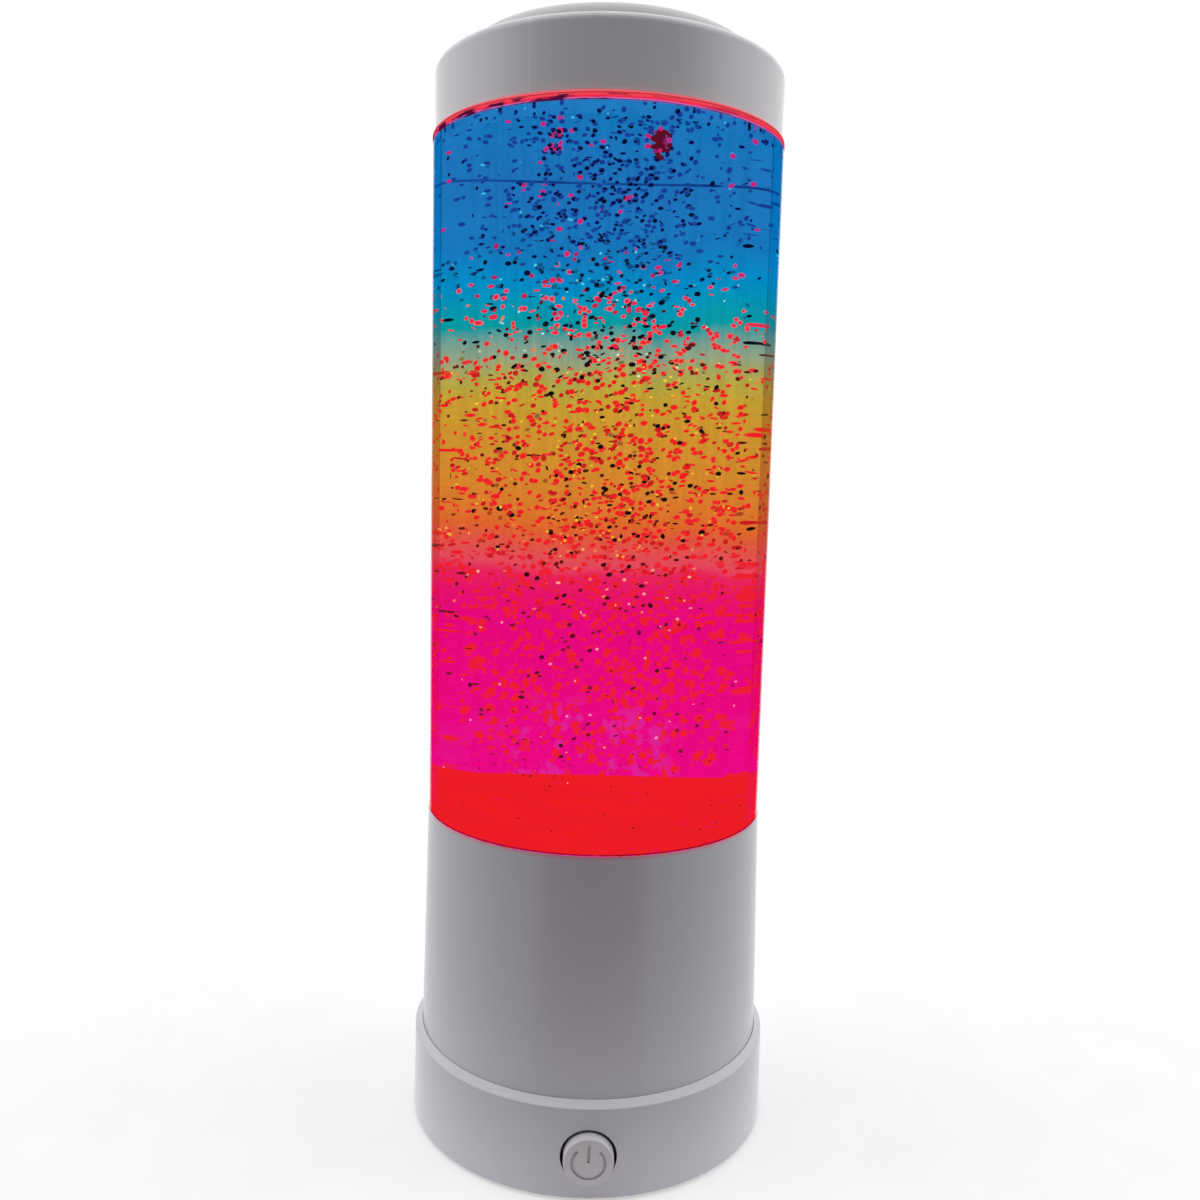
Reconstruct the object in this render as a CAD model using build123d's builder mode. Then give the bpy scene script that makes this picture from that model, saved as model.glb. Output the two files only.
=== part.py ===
from build123d import *
import math
import os
import random

# Glitter lamp: a sealed tank of liquid and glitter in a clear sleeve, between a white cap and
# a white base that holds the batteries, the switch, the lights and a magnet drive.
# Millimetres, +Z up. The origin is on the table, on the lamp's axis. The button faces -Y.

os.makedirs("parts", exist_ok=True)

# Clearances and cutters that all pieces share
moving_gap = 0.3  # a piece beside one that moves past it
fixed_gap = 0.1  # fixed pieces that drop into each other
bearing_gap = 0.04  # radial gap of a shaft in its bearing
thread_gap = 0.05  # radial gap of a screw in its hole
join = 0.2  # how far a rib runs into the wall that it grows from
overrun = 1.0  # how far a cutter runs past the face that it opens

# Casing as seen from outside
sleeve_wall = 1.0
sleeve_length = 174.91
body_step = 0.12
body_taper = 1.3
foot_step = 2.0
foot_flare = 0.35
foot_side_height = 23.3
foot_bevel_height = 1.54
foot_edge_round = 0.3
pad_lift = 0.8
light_ring_height = 2.1
light_ring_step = 0.05
cap_height = 17.43
cap_step = 0.8
cap_taper = 0.2
cap_wall = 2.0
cap_edge_round = 2.2
crown_rise = 5.9
crown_inset = 7.2
crown_side_height = 1.4
crown_edge_radius = 4.0
crown_flat_radius = 6.0
crown_wall = 1.8

# Base plate, foot lip and pads
plate_recess = 0.4
plate_thickness = 2.4
foot_lip_height = 1.6
pad_radius = 3.8
pad_pocket_depth = 0.6
pad_edge_round = 0.25
pad_inset = 5.42
pad_angles = (45, 135, 225, 315)
base_screw_inset = 5.5
base_screw_angles = (35, 145, 215, 325)
base_column_radius = 3.2
base_column_height = 21.0
rib_width = 1.6
screw_radius = 1.25
screw_head_radius = 2.6
screw_head_height = 1.2
screw_head_web = 1.1
screw_length = 10.0

# Levels of the foot and the plate, from the table up
rim_z = pad_lift
foot_side_top = rim_z + foot_side_height
foot_top = foot_side_top + foot_bevel_height
plate_low = rim_z + plate_recess
plate_top = plate_low + plate_thickness
foot_lip_top = plate_top + foot_lip_height
base_column_top = plate_top + base_column_height

# Batteries and their holder
battery_radius = 7.1
battery_length = 49.3
battery_nub_radius = 2.75
battery_nub_length = 1.2
battery_edge_round = 0.6
battery_count = 3
bay_gap = 0.8
battery_lift = 0.4
contact_thickness = 0.4
contact_width = 9.0
contact_tab_width = 3.0
contact_tab_height = 1.2
dimple_radius = 2.2
dimple_height = 0.9
leaf_height = 2.6
leaf_width = 5.0
leaf_half_span = 4.0
holder_wall = 1.4
holder_corner_gap = 1.22
partition_gap = 0.1
bay_pitch = 2 * battery_radius + bay_gap
holder_width = battery_count * bay_pitch
holder_length = (
    battery_length + battery_nub_length + dimple_height + leaf_height + 2 * contact_thickness
)

# Battery door, hinged at the back and held by one screw at the front
door_thickness = 2.0
door_gap = 0.25
door_side_margin = 0.3
door_arm_length = 4.0
door_arm_width = 6.0
door_arm_x = 14.0
door_pin_radius = 0.6
door_pin_length = 1.6
tongue_width = 5.2
tongue_length = 5.0
tongue_roof = 1.4
tongue_roof_wall = 1.1
door_boss_radius = 2.5
door_boss_height = 6.0
grip_count = 3
grip_inset = 4.0
grip_length = 15.0
grip_width = 1.0
grip_gap = 1.6
grip_depth = 0.5
door_screw_radius = 0.85
door_screw_head_radius = 1.7
door_screw_head_height = 0.9
door_screw_length = 6.5

# Power button, switch and control board
button_radius = 6.28
button_height = 10.91
button_protrusion = 2.54
button_travel = 1.8
button_flange_room = 0.78
button_hole_gap = 0.8
button_edge_round = 0.45
button_flange_step = 0.92
button_flange_thickness = 1.4
button_wall = 1.3
button_hollow_depth = 7.0
stem_radius = 1.8
stem_length = 2.4
symbol_outer_radius = 4.45
symbol_line = 0.75
symbol_depth = 0.35
symbol_bar_length = 4.35
symbol_gap_angle = 86
symbol_tilt = -2
plunger_width = 3.2
plunger_rest_gap = 0.4
plunger_insertion = 3.0
switch_width = 12.0
switch_depth = 8.0
switch_pad_depth = 6.0
switch_edge_round = 0.2
board_thickness = 1.6
board_width = 30.0
board_height = 18.0
board_groove = 0.6
board_room = 7.92
board_post_width = 2.4
board_post_depth = 4.0
board_post_height = 12.0
header_width = 27.0
header_depth = 3.6
header_height = 5.0
header_lift = 10.4
chip_width = 6.0
chip_height = 5.0
chip_depth = 1.6
chip_x = 8.0
chip_lift = 3.0
capacitor_radius = 2.4
capacitor_length = 6.0
capacitor_x = -9.0
capacitor_lift = 4.5

# Radii of the casing: as wide as the switch, the board and the batteries behind them need
front_room = (
    button_flange_room + button_flange_thickness + stem_length + button_travel + plunger_rest_gap
    + switch_depth + board_thickness + board_room
)
holder_corner_x = holder_width / 2 + holder_wall
depth_used = front_room + holder_length + 2 * holder_wall
shell_bore = (
    depth_used + holder_corner_gap + holder_corner_x**2 / (depth_used - holder_corner_gap)
) / 2
sleeve_bore = shell_bore - fixed_gap
sleeve_radius = sleeve_bore + sleeve_wall
body_top_radius = sleeve_radius + body_step
body_foot_radius = body_top_radius + body_taper
foot_radius = body_foot_radius + foot_step
foot_bore = body_foot_radius + fixed_gap
cap_low_radius = sleeve_radius - cap_step
cap_top_radius = cap_low_radius + cap_taper
crown_radius = cap_top_radius - crown_inset
pad_circle = body_foot_radius - pad_inset
base_screw_circle = shell_bore - base_screw_inset

# Places of the holder and the door
holder_front_y = front_room + holder_wall - shell_bore
holder_back_y = holder_front_y + holder_length
door_top = plate_low + door_thickness
door_front_y = holder_front_y + door_side_margin
door_back_y = holder_back_y - door_side_margin
door_width = holder_width - 2 * door_side_margin
tongue_centre_y = door_front_y - tongue_length
hinge_y = door_back_y + door_arm_length
hinge_z = plate_low + door_thickness / 2
battery_z = door_top + battery_lift + battery_radius
holder_roof_low = battery_z + battery_radius + moving_gap
holder_roof_top = holder_roof_low + holder_wall
contact_low = plate_top + fixed_gap
contact_top = holder_roof_low - fixed_gap

# Places of the button, the switch and the board
button_z = rim_z + button_height
button_face_y = -(foot_radius + button_protrusion)
button_flange_radius = button_radius + button_flange_step
button_flange_front_y = button_flange_room - shell_bore
button_back_y = button_flange_front_y + button_flange_thickness
stem_end_y = button_back_y + stem_length
switch_front_y = stem_end_y + button_travel + plunger_rest_gap
switch_back_y = switch_front_y + switch_depth
board_back_y = switch_back_y + board_thickness
header_back_y = board_back_y + header_depth
wire_drop_y = board_back_y + header_depth / 2
header_low = plate_top + header_lift
header_top = header_low + header_height

# Tank, floor plate, stirrer and what drives it
film_space = 0.4
film_thickness = 0.2
tank_wall = 1.6
tank_base_thickness = 2.6
tank_spigot_height = 3.2
tank_spigot_wall = 1.5
guard_thickness = 1.4
guard_rim_gap = 1.4
guard_leg_radius = 1.6
guard_leg_inset = 10.0
guard_leg_count = 6
guard_hole_radius = 0.9
guard_hole_spacing = 3.5
guard_hole_rings = (1, 2)
guard_hole_count = 6
stirrer_room = 5.0
pin_radius = 1.0
pin_seat_depth = 1.4
pin_boss_radius = 3.0
pin_boss_height = 0.8
pin_clear = 0.4
stirrer_disc_radius = 14.0
stirrer_disc_thickness = 2.2
stirrer_hub_radius = 3.4
stirrer_blade_width = 1.2
stirrer_blade_count = 6
stirrer_magnet_radius = 2.8
stirrer_magnet_depth = 1.5
stirrer_magnet_gap = 2.3
drive_gap = 0.6
carrier_radius = 12.5
carrier_height = 5.2
carrier_hub_radius = 3.4
carrier_hub_height = 2.0
drive_magnet_radius = 3.6
drive_magnet_depth = 3.0
shaft_radius = 1.0
diffuser_thickness = 1.2
diffuser_hole_gap = 2.0
ledge_thickness = 2.0
ledge_width = 4.1
tank_radius = sleeve_bore - film_space
tank_bore = tank_radius - tank_wall
guard_leg_circle = tank_bore - guard_leg_inset
guard_radius = tank_bore - guard_rim_gap
stirrer_magnet_circle = stirrer_hub_radius + stirrer_magnet_gap + stirrer_magnet_radius
diffuser_hole_radius = carrier_radius + diffuser_hole_gap
ledge_bore = shell_bore - ledge_width
film_inner_radius = tank_radius + (film_space - film_thickness) / 2

# Lights, deck and motor
led_count = 6
led_inset = 11.9
led_radius = 2.5
led_flange_radius = 2.9
led_flange_height = 1.0
led_body_height = 4.5
led_clear = 1.4
led_board_gap = 3.5
led_board_margin = 1.0
standoff_height = 5.5
standoff_radius = 2.6
standoff_inset = 5.9
standoff_count = 3
standoff_turn = 30
board_screw_radius = 0.9
board_screw_head_radius = 1.8
board_screw_head_height = 1.2
board_screw_length = 5.0
deck_thickness = 2.5
deck_column_radius = 3.0
deck_column_inset = 3.2
deck_column_count = 3
deck_column_turn = 90
deck_screw_length = 8.0
wire_hole_radius = 5.0
motor_radius = 12.0
motor_flat_width = 18.0
motor_length = 25.0
motor_edge_round = 0.5
motor_boss_radius = 3.0
motor_boss_height = 1.5
motor_tab_width = 2.4
motor_tab_thickness = 0.5
motor_tab_length = 3.0
motor_tab_x = 5.0
motor_screw_radius = 0.95
motor_screw_head_radius = 1.9
motor_screw_head_height = 1.1
motor_screw_x = 6.5
motor_screw_bite = 2.5
deck_radius = shell_bore - 2 * fixed_gap
deck_column_circle = shell_bore - deck_column_inset
led_board_radius = deck_column_circle - deck_column_radius - led_board_margin
led_board_bore = carrier_radius + led_board_gap
led_circle = led_board_radius - led_inset
standoff_circle = led_board_radius - standoff_inset

# Levels above the batteries: leads, motor, deck, lights, stirrer and the tank's floor plate
wire_rise = 6.0
motor_tab_clear = 4.47
wire_cross_z = holder_roof_top + wire_rise
motor_tab_low = wire_cross_z + motor_tab_clear
motor_low = motor_tab_low + motor_tab_length
deck_low = motor_low + motor_length
deck_top = deck_low + deck_thickness
led_board_low = deck_top + standoff_height
led_board_top = led_board_low + board_thickness
diffuser_low = (
    led_board_top + led_flange_height + led_body_height + led_radius + led_clear
)
ledge_low = diffuser_low - ledge_thickness
tank_base_low = diffuser_low + diffuser_thickness
tank_base_top = tank_base_low + tank_base_thickness
tank_spigot_top = tank_base_top + tank_spigot_height
carrier_top = tank_base_low - drive_gap
carrier_low = carrier_top - carrier_height
guard_low = tank_base_top + stirrer_room
guard_top = guard_low + guard_thickness
pin_top = guard_low - pin_clear
stirrer_low = tank_base_top + pin_boss_height + moving_gap
stirrer_disc_top = stirrer_low + stirrer_disc_thickness
stirrer_top = guard_low - pin_clear

# Levels of the casing above the foot
body_top = guard_top
sleeve_top = body_top + sleeve_length
light_ring_top = sleeve_top + light_ring_height
cap_top = light_ring_top + cap_height
crown_top = cap_top + crown_rise

# Rainbow film: it wraps the back of the tank and leaves a window at the front
film_window_angle = 127.3
film_window_turn = -2

# Lid, filling plug and liquid
lid_depth = 1.8
lid_thickness = 1.3
light_ring_width = 3.4
fill_hole_radius = 4.0
fill_seal_width = 2.2
fill_seal_height = 0.8
fill_head_step = 0.3
fill_head_height = 2.3
liquid_gap = 0.05
stirrer_swing_gap = 1.0
cap_lip_gap = 0.2
cap_lip_width = 1.1
cap_shoulder_height = 3.8
cap_hole_step = 2.5
crown_spigot_depth = 3.6
crown_spigot_wall = 2.0
light_ring_bore = sleeve_radius - light_ring_width
lid_low = sleeve_top - lid_depth
lid_top = sleeve_top + lid_thickness

# Glitter held in the liquid
flake_count = 180
flake_radius = 0.65
flake_thickness = 0.1
flake_margin = 1.2
flake_spacing = 2.2
flake_seed = 11

# Leads inside the base
wire_radius = 0.6
wire_bend = 2.0
wire_bow = 3.0
wire_bow_radius = 25.0
wire_straight = 8.0
motor_wire_x = motor_tab_x
led_wire_x = 2.0
battery_wire_x = 12.0


def polar_spots(circle, angles):
    """Points on a circle round the lamp's axis."""
    turns = [math.radians(angle) for angle in angles]
    return [(circle * math.cos(turn), circle * math.sin(turn)) for turn in turns]


def even_angles(count, turn=0):
    """Angles of a number of places spread evenly round the axis."""
    return [turn + place * 360 / count for place in range(count)]


def add_discs(low, high, radius, bore=0, spots=((0, 0),), mode=Mode.ADD):
    """Upright discs or rings between two levels, in the part being built."""
    with BuildSketch(Plane.XY.offset(low)) as outline:
        with Locations(*spots):
            Circle(radius)
            if bore:
                Circle(bore, mode=Mode.SUBTRACT)
    extrude(outline.sketch, amount=high - low, mode=mode)


def add_radial_bars(low, high, inner, outer, width, angles):
    """Upright bars that run outwards from the lamp's axis, in the part being built."""
    with BuildSketch(Plane.XY.offset(low)) as outline:
        for angle in angles:
            with PolarLocations((inner + outer) / 2, 1, start_angle=angle):
                Rectangle(outer - inner, width)
    extrude(outline.sketch, amount=high - low)


def add_block(low_corner, high_corner, mode=Mode.ADD):
    """A block between two corners, in the part being built."""
    sizes = [high - low for low, high in zip(low_corner, high_corner)]
    middle = [(high + low) / 2 for low, high in zip(low_corner, high_corner)]
    with BuildSketch(Plane.XY.offset(low_corner[2])) as outline:
        with Locations((middle[0], middle[1])):
            Rectangle(sizes[0], sizes[1])
    extrude(outline.sketch, amount=sizes[2], mode=mode)


def add_screws(head_low, head_radius, head_height, shank_end, shank_radius, spots):
    """Pan-head screws: the head stands on head_low and the shank runs to shank_end."""
    shank_start = head_low if shank_end < head_low else head_low + head_height
    add_discs(head_low, head_low + head_height, head_radius, spots=spots)
    add_discs(min(shank_start, shank_end), max(shank_start, shank_end), shank_radius, spots=spots)
    slot_face = head_low + head_height if shank_end < head_low else head_low
    slot_depth = head_height / 3
    with BuildSketch(Plane.XY.offset(slot_face - slot_depth)) as cross:
        with Locations(*spots):
            Rectangle(head_radius, head_radius / 5)
            Rectangle(head_radius / 5, head_radius)
    extrude(cross.sketch, amount=2 * slot_depth, mode=Mode.SUBTRACT)


def sweep_wire(points, bend):
    """One insulated lead along straight runs joined by arcs, in the part being built."""
    with BuildLine() as route:
        FilletPolyline(*points, radius=bend)
    start = route.line @ 0
    with BuildSketch(Plane(origin=start, z_dir=route.line % 0)) as section:
        Circle(wire_radius)
    sweep(section.sketch, path=route.line)


# Foot ring: the wide lower shell with the button's hole
with BuildPart() as foot_ring:
    with BuildSketch(Plane.XZ):
        with BuildLine():
            Polyline(
                (foot_bore, rim_z),
                (foot_radius + foot_flare, rim_z),
                (foot_radius, foot_side_top),
                (foot_bore, foot_top),
                close=True,
            )
        make_face()
    revolve(axis=Axis.Z)
    side_edges = foot_ring.edges().filter_by(GeomType.CIRCLE).sort_by(SortBy.RADIUS)[-2:]
    fillet(side_edges, radius=foot_edge_round)
    add_discs(plate_top, foot_lip_top, foot_bore + join, shell_bore + moving_gap)
    with BuildSketch(Plane.XZ):
        with Locations((0, button_z)):
            Circle(button_radius + button_hole_gap)
    extrude(amount=foot_radius + overrun, mode=Mode.SUBTRACT)
foot_ring.part.label = "foot_ring"
export_step(foot_ring.part, "parts/foot_ring.step")


# Base housing: the tapered shell, the ledge that carries the tank and the screw columns
with BuildPart() as base_housing:
    with BuildSketch(Plane.XZ):
        with BuildLine():
            Polyline(
                (shell_bore, foot_lip_top),
                (body_foot_radius, foot_lip_top),
                (body_foot_radius, foot_top),
                (body_top_radius, body_top),
                (shell_bore, body_top),
                close=True,
            )
        make_face()
    revolve(axis=Axis.Z)
    add_discs(ledge_low, diffuser_low, shell_bore + join, ledge_bore)
    base_spots = polar_spots(base_screw_circle, base_screw_angles)
    deck_column_angles = even_angles(deck_column_count, deck_column_turn)
    deck_spots = polar_spots(deck_column_circle, deck_column_angles)
    add_discs(plate_top, base_column_top, base_column_radius, spots=base_spots)
    add_radial_bars(
        foot_lip_top, base_column_top, base_screw_circle, shell_bore + join, rib_width,
        base_screw_angles,
    )
    add_discs(deck_top, ledge_low + join, deck_column_radius, spots=deck_spots)
    add_radial_bars(
        deck_top, ledge_low + join, deck_column_circle, shell_bore + join, rib_width,
        deck_column_angles,
    )
    add_discs(
        plate_top - overrun, plate_top + screw_length, screw_radius + thread_gap,
        spots=base_spots, mode=Mode.SUBTRACT,
    )
    add_discs(
        deck_top - overrun, deck_top + deck_screw_length, screw_radius + thread_gap,
        spots=deck_spots, mode=Mode.SUBTRACT,
    )
    with BuildSketch(Plane.XZ):
        with Locations((0, button_z)):
            Circle(button_radius + moving_gap)
    extrude(amount=foot_radius + overrun, mode=Mode.SUBTRACT)
base_housing.part.label = "base_housing"
export_step(base_housing.part, "parts/base_housing.step")


# Base plate: it closes the underside and carries the door, the switch pad and the board
with BuildPart() as base_plate:
    add_discs(plate_low, plate_top, foot_bore - moving_gap)
    add_block(
        (-switch_width / 2, switch_front_y, plate_top),
        (switch_width / 2, switch_front_y + switch_pad_depth, button_z - switch_width / 2),
    )
    for side in (-1, 1):
        post_middle_x = side * (board_width / 2 + board_post_width / 2 - board_groove)
        post_middle_y = (switch_back_y + board_back_y) / 2
        add_block(
            (post_middle_x - board_post_width / 2, post_middle_y - board_post_depth / 2, plate_top),
            (
                post_middle_x + board_post_width / 2,
                post_middle_y + board_post_depth / 2,
                plate_top + board_post_height,
            ),
        )
    add_block(
        (-board_width / 2 - fixed_gap, switch_back_y - fixed_gap / 2, plate_top),
        (
            board_width / 2 + fixed_gap,
            board_back_y + fixed_gap / 2,
            plate_top + board_height + overrun,
        ),
        mode=Mode.SUBTRACT,
    )
    # Roof and boss over the door's tongue
    roof_half = tongue_width / 2 + door_gap + tongue_roof_wall
    add_block(
        (-roof_half, board_back_y + fixed_gap, plate_top),
        (roof_half, holder_front_y - holder_wall - fixed_gap, door_top + tongue_roof),
    )
    tongue_spot = ((0, tongue_centre_y),)
    add_discs(plate_top, door_top + door_boss_height, door_boss_radius, spots=tongue_spot)
    # Opening for the door, its tongue and its two hinge arms
    add_block(
        (-door_width / 2 - door_gap, door_front_y - door_gap, plate_low - overrun),
        (door_width / 2 + door_gap, door_back_y + door_gap, plate_top + overrun),
        mode=Mode.SUBTRACT,
    )
    with BuildSketch(Plane.XY.offset(plate_low - overrun)):
        with Locations((0, tongue_centre_y)):
            Circle(tongue_width / 2 + door_gap)
        with Locations((0, tongue_centre_y + tongue_length / 2)):
            Rectangle(tongue_width + 2 * door_gap, tongue_length)
    extrude(amount=door_thickness + overrun, mode=Mode.SUBTRACT)
    add_discs(
        plate_low, door_top + door_boss_height + overrun, door_screw_radius + moving_gap,
        spots=tongue_spot, mode=Mode.SUBTRACT,
    )
    for side in (-1, 1):
        add_block(
            (
                side * door_arm_x - door_arm_width / 2 - door_gap,
                door_back_y - overrun,
                plate_low - overrun,
            ),
            (
                side * door_arm_x + door_arm_width / 2 + door_gap,
                hinge_y + door_thickness / 2 + door_gap,
                plate_top + overrun,
            ),
            mode=Mode.SUBTRACT,
        )
    pin_reach = door_arm_x + door_arm_width / 2 + door_pin_length + door_gap
    with BuildSketch(Plane.YZ.offset(-pin_reach)):
        with Locations((hinge_y, hinge_z)):
            Circle(door_pin_radius + bearing_gap)
    extrude(amount=pin_reach - door_arm_x, mode=Mode.SUBTRACT)
    with BuildSketch(Plane.YZ.offset(door_arm_x)):
        with Locations((hinge_y, hinge_z)):
            Circle(door_pin_radius + bearing_gap)
    extrude(amount=pin_reach - door_arm_x, mode=Mode.SUBTRACT)
    # Screw holes with counterbores, and pockets for the pads
    add_discs(
        plate_low - overrun, plate_top - screw_head_web, screw_head_radius + moving_gap,
        spots=base_spots, mode=Mode.SUBTRACT,
    )
    add_discs(
        plate_low - overrun, plate_top + overrun, screw_radius + moving_gap,
        spots=base_spots, mode=Mode.SUBTRACT,
    )
    pad_spots = polar_spots(pad_circle, pad_angles)
    add_discs(
        plate_low - overrun, plate_low + pad_pocket_depth, pad_radius + fixed_gap,
        spots=pad_spots, mode=Mode.SUBTRACT,
    )
base_plate.part.label = "base_plate"
export_step(base_plate.part, "parts/base_plate.step")


# Four screws that clamp the plate and the foot ring to the housing
with BuildPart() as base_screws:
    add_screws(
        plate_top - screw_head_web - screw_head_height, screw_head_radius, screw_head_height,
        plate_top + screw_length - overrun, screw_radius, base_spots,
    )
base_screws.part.label = "base_screws"
export_step(base_screws.part, "parts/base_screws.step")


# Rubber pads that the lamp stands on
with BuildPart() as rubber_pads:
    add_discs(0, plate_low + pad_pocket_depth, pad_radius, spots=pad_spots)
    fillet(rubber_pads.edges().group_by(Axis.Z)[0], radius=pad_edge_round)
rubber_pads.part.label = "rubber_pads"
export_step(rubber_pads.part, "parts/rubber_pads.step")


# Battery door with its tongue, hinge arms, stub pins and grooves to grip it by
with BuildPart() as battery_door:
    add_block(
        (-door_width / 2, door_front_y, plate_low),
        (door_width / 2, door_back_y, door_top),
    )
    with BuildSketch(Plane.XY.offset(plate_low)):
        with Locations((0, tongue_centre_y)):
            Circle(tongue_width / 2)
        with Locations((0, tongue_centre_y + tongue_length / 2)):
            Rectangle(tongue_width, tongue_length)
    extrude(amount=door_thickness)
    for side in (-1, 1):
        add_block(
            (side * door_arm_x - door_arm_width / 2, door_back_y - join, plate_low),
            (side * door_arm_x + door_arm_width / 2, hinge_y, door_top),
        )
        with BuildSketch(Plane.YZ.offset(side * door_arm_x - door_arm_width / 2)):
            with Locations((hinge_y, hinge_z)):
                Circle(door_thickness / 2)
        extrude(amount=door_arm_width)
        pin_start = side * (door_arm_x + door_arm_width / 2)
        with BuildSketch(Plane.YZ.offset(pin_start)):
            with Locations((hinge_y, hinge_z)):
                Circle(door_pin_radius)
        extrude(amount=side * door_pin_length)
    add_discs(
        plate_low - overrun, plate_low + door_screw_head_height, door_screw_head_radius + fixed_gap,
        spots=tongue_spot, mode=Mode.SUBTRACT,
    )
    add_discs(
        plate_low - overrun, door_top + overrun, door_screw_radius + thread_gap,
        spots=tongue_spot, mode=Mode.SUBTRACT,
    )
    with BuildSketch(Plane.XY.offset(plate_low)):
        for groove in range(grip_count):
            with Locations((0, door_front_y + grip_inset + groove * (grip_width + grip_gap))):
                SlotOverall(grip_length, grip_width)
    extrude(amount=grip_depth, mode=Mode.SUBTRACT)
battery_door.part.label = "battery_door"
export_step(battery_door.part, "parts/battery_door.step")


# The screw that keeps the battery door shut
with BuildPart() as door_screw:
    add_screws(
        plate_low, door_screw_head_radius, door_screw_head_height,
        plate_low + door_screw_length, door_screw_radius, tongue_spot,
    )
door_screw.part.label = "door_screw"
export_step(door_screw.part, "parts/door_screw.step")


# Battery holder: a tray that is open at the bottom, with a bay for each battery
bay_middles = [(bay - (battery_count - 1) / 2) * bay_pitch for bay in range(battery_count)]
with BuildPart() as battery_holder:
    add_block(
        (-holder_width / 2 - holder_wall, holder_front_y - holder_wall, plate_top),
        (holder_width / 2 + holder_wall, holder_back_y + holder_wall, holder_roof_top),
    )
    add_block(
        (-holder_width / 2, holder_front_y, plate_top - overrun),
        (holder_width / 2, holder_back_y, holder_roof_low),
        mode=Mode.SUBTRACT,
    )
    for left, right in zip(bay_middles, bay_middles[1:]):
        wall_x = (left + right) / 2
        half = bay_gap / 2 - partition_gap
        add_block(
            (wall_x - half, holder_front_y + leaf_height + bay_gap, battery_z),
            (wall_x + half, holder_back_y - leaf_height - bay_gap, holder_roof_low + join),
        )
    # Slots that the contact tabs come up through
    for tab_x, wall_y, inward in (
        (-battery_wire_x, holder_front_y, 1),
        (battery_wire_x, holder_back_y, -1),
    ):
        slot_y = wall_y + inward * contact_thickness / 2
        add_block(
            (
                tab_x - contact_tab_width / 2 - fixed_gap,
                slot_y - contact_thickness / 2 - fixed_gap,
                holder_roof_low - overrun,
            ),
            (
                tab_x + contact_tab_width / 2 + fixed_gap,
                slot_y + contact_thickness / 2 + fixed_gap,
                holder_roof_top + overrun,
            ),
            mode=Mode.SUBTRACT,
        )
battery_holder.part.label = "battery_holder"
export_step(battery_holder.part, "parts/battery_holder.step")


def add_contact(bays, wall_y, inward, tab_x):
    """A contact plate over one or two bays: a dimple for a plus end, a bent leaf for a minus."""
    low_x = bay_middles[bays[0]] - contact_width / 2
    high_x = bay_middles[bays[-1]] + contact_width / 2
    face_y = wall_y + inward * contact_thickness
    add_block(
        (low_x, min(wall_y, face_y), contact_low),
        (high_x, max(wall_y, face_y), contact_top),
    )
    if tab_x is not None:
        add_block(
            (tab_x - contact_tab_width / 2, min(wall_y, face_y), contact_top - join),
            (
                tab_x + contact_tab_width / 2,
                max(wall_y, face_y),
                holder_roof_top + contact_tab_height,
            ),
        )
    for bay in bays:
        plus_end = (bay % 2 == 0) == (inward < 0)
        middle_x = bay_middles[bay]
        if plus_end:
            with BuildSketch(Plane.XZ.offset(-wall_y)) as dimple:
                with Locations((middle_x, battery_z)):
                    Circle(dimple_radius)
            extrude(dimple.sketch, amount=-inward * (contact_thickness + dimple_height))
        else:
            tip_y = face_y + inward * leaf_height
            slope = contact_thickness * inward
            with BuildSketch(Plane.XY.offset(battery_z - leaf_width / 2)) as leaf:
                with BuildLine():
                    Polyline(
                        (middle_x - leaf_half_span, face_y - slope / 2),
                        (middle_x, tip_y),
                        (middle_x + leaf_half_span, face_y - slope / 2),
                        (middle_x + leaf_half_span - contact_thickness, face_y - slope / 2),
                        (middle_x, tip_y - slope),
                        (middle_x - leaf_half_span + contact_thickness, face_y - slope / 2),
                        close=True,
                    )
                make_face()
            extrude(leaf.sketch, amount=leaf_width)


# Contacts: the bays are in series, so the middle battery lies the other way round
with BuildPart() as battery_contacts:
    add_contact((0,), holder_front_y, 1, -battery_wire_x)
    add_contact((1, 2), holder_front_y, 1, None)
    add_contact((0, 1), holder_back_y, -1, None)
    add_contact((2,), holder_back_y, -1, battery_wire_x)
battery_contacts.part.label = "battery_contacts"
export_step(battery_contacts.part, "parts/battery_contacts.step")


# Three AA cells
with BuildPart() as batteries:
    for bay, middle_x in enumerate(bay_middles):
        forward = 1 if bay % 2 == 0 else -1
        minus_wall_y = holder_front_y if forward > 0 else holder_back_y
        minus_y = minus_wall_y + forward * (contact_thickness + leaf_height)
        with BuildSketch(Plane.XZ.offset(-minus_y)):
            with Locations((middle_x, battery_z)):
                Circle(battery_radius)
        extrude(amount=-forward * battery_length)
        with BuildSketch(Plane.XZ.offset(-minus_y)):
            with Locations((middle_x, battery_z)):
                Circle(battery_nub_radius)
        extrude(amount=-forward * (battery_length + battery_nub_length))
    cell_edges = batteries.edges().filter_by(GeomType.CIRCLE).group_by(SortBy.RADIUS)[-1]
    fillet(cell_edges, radius=battery_edge_round)
batteries.part.label = "batteries"
export_step(batteries.part, "parts/batteries.step")


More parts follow.
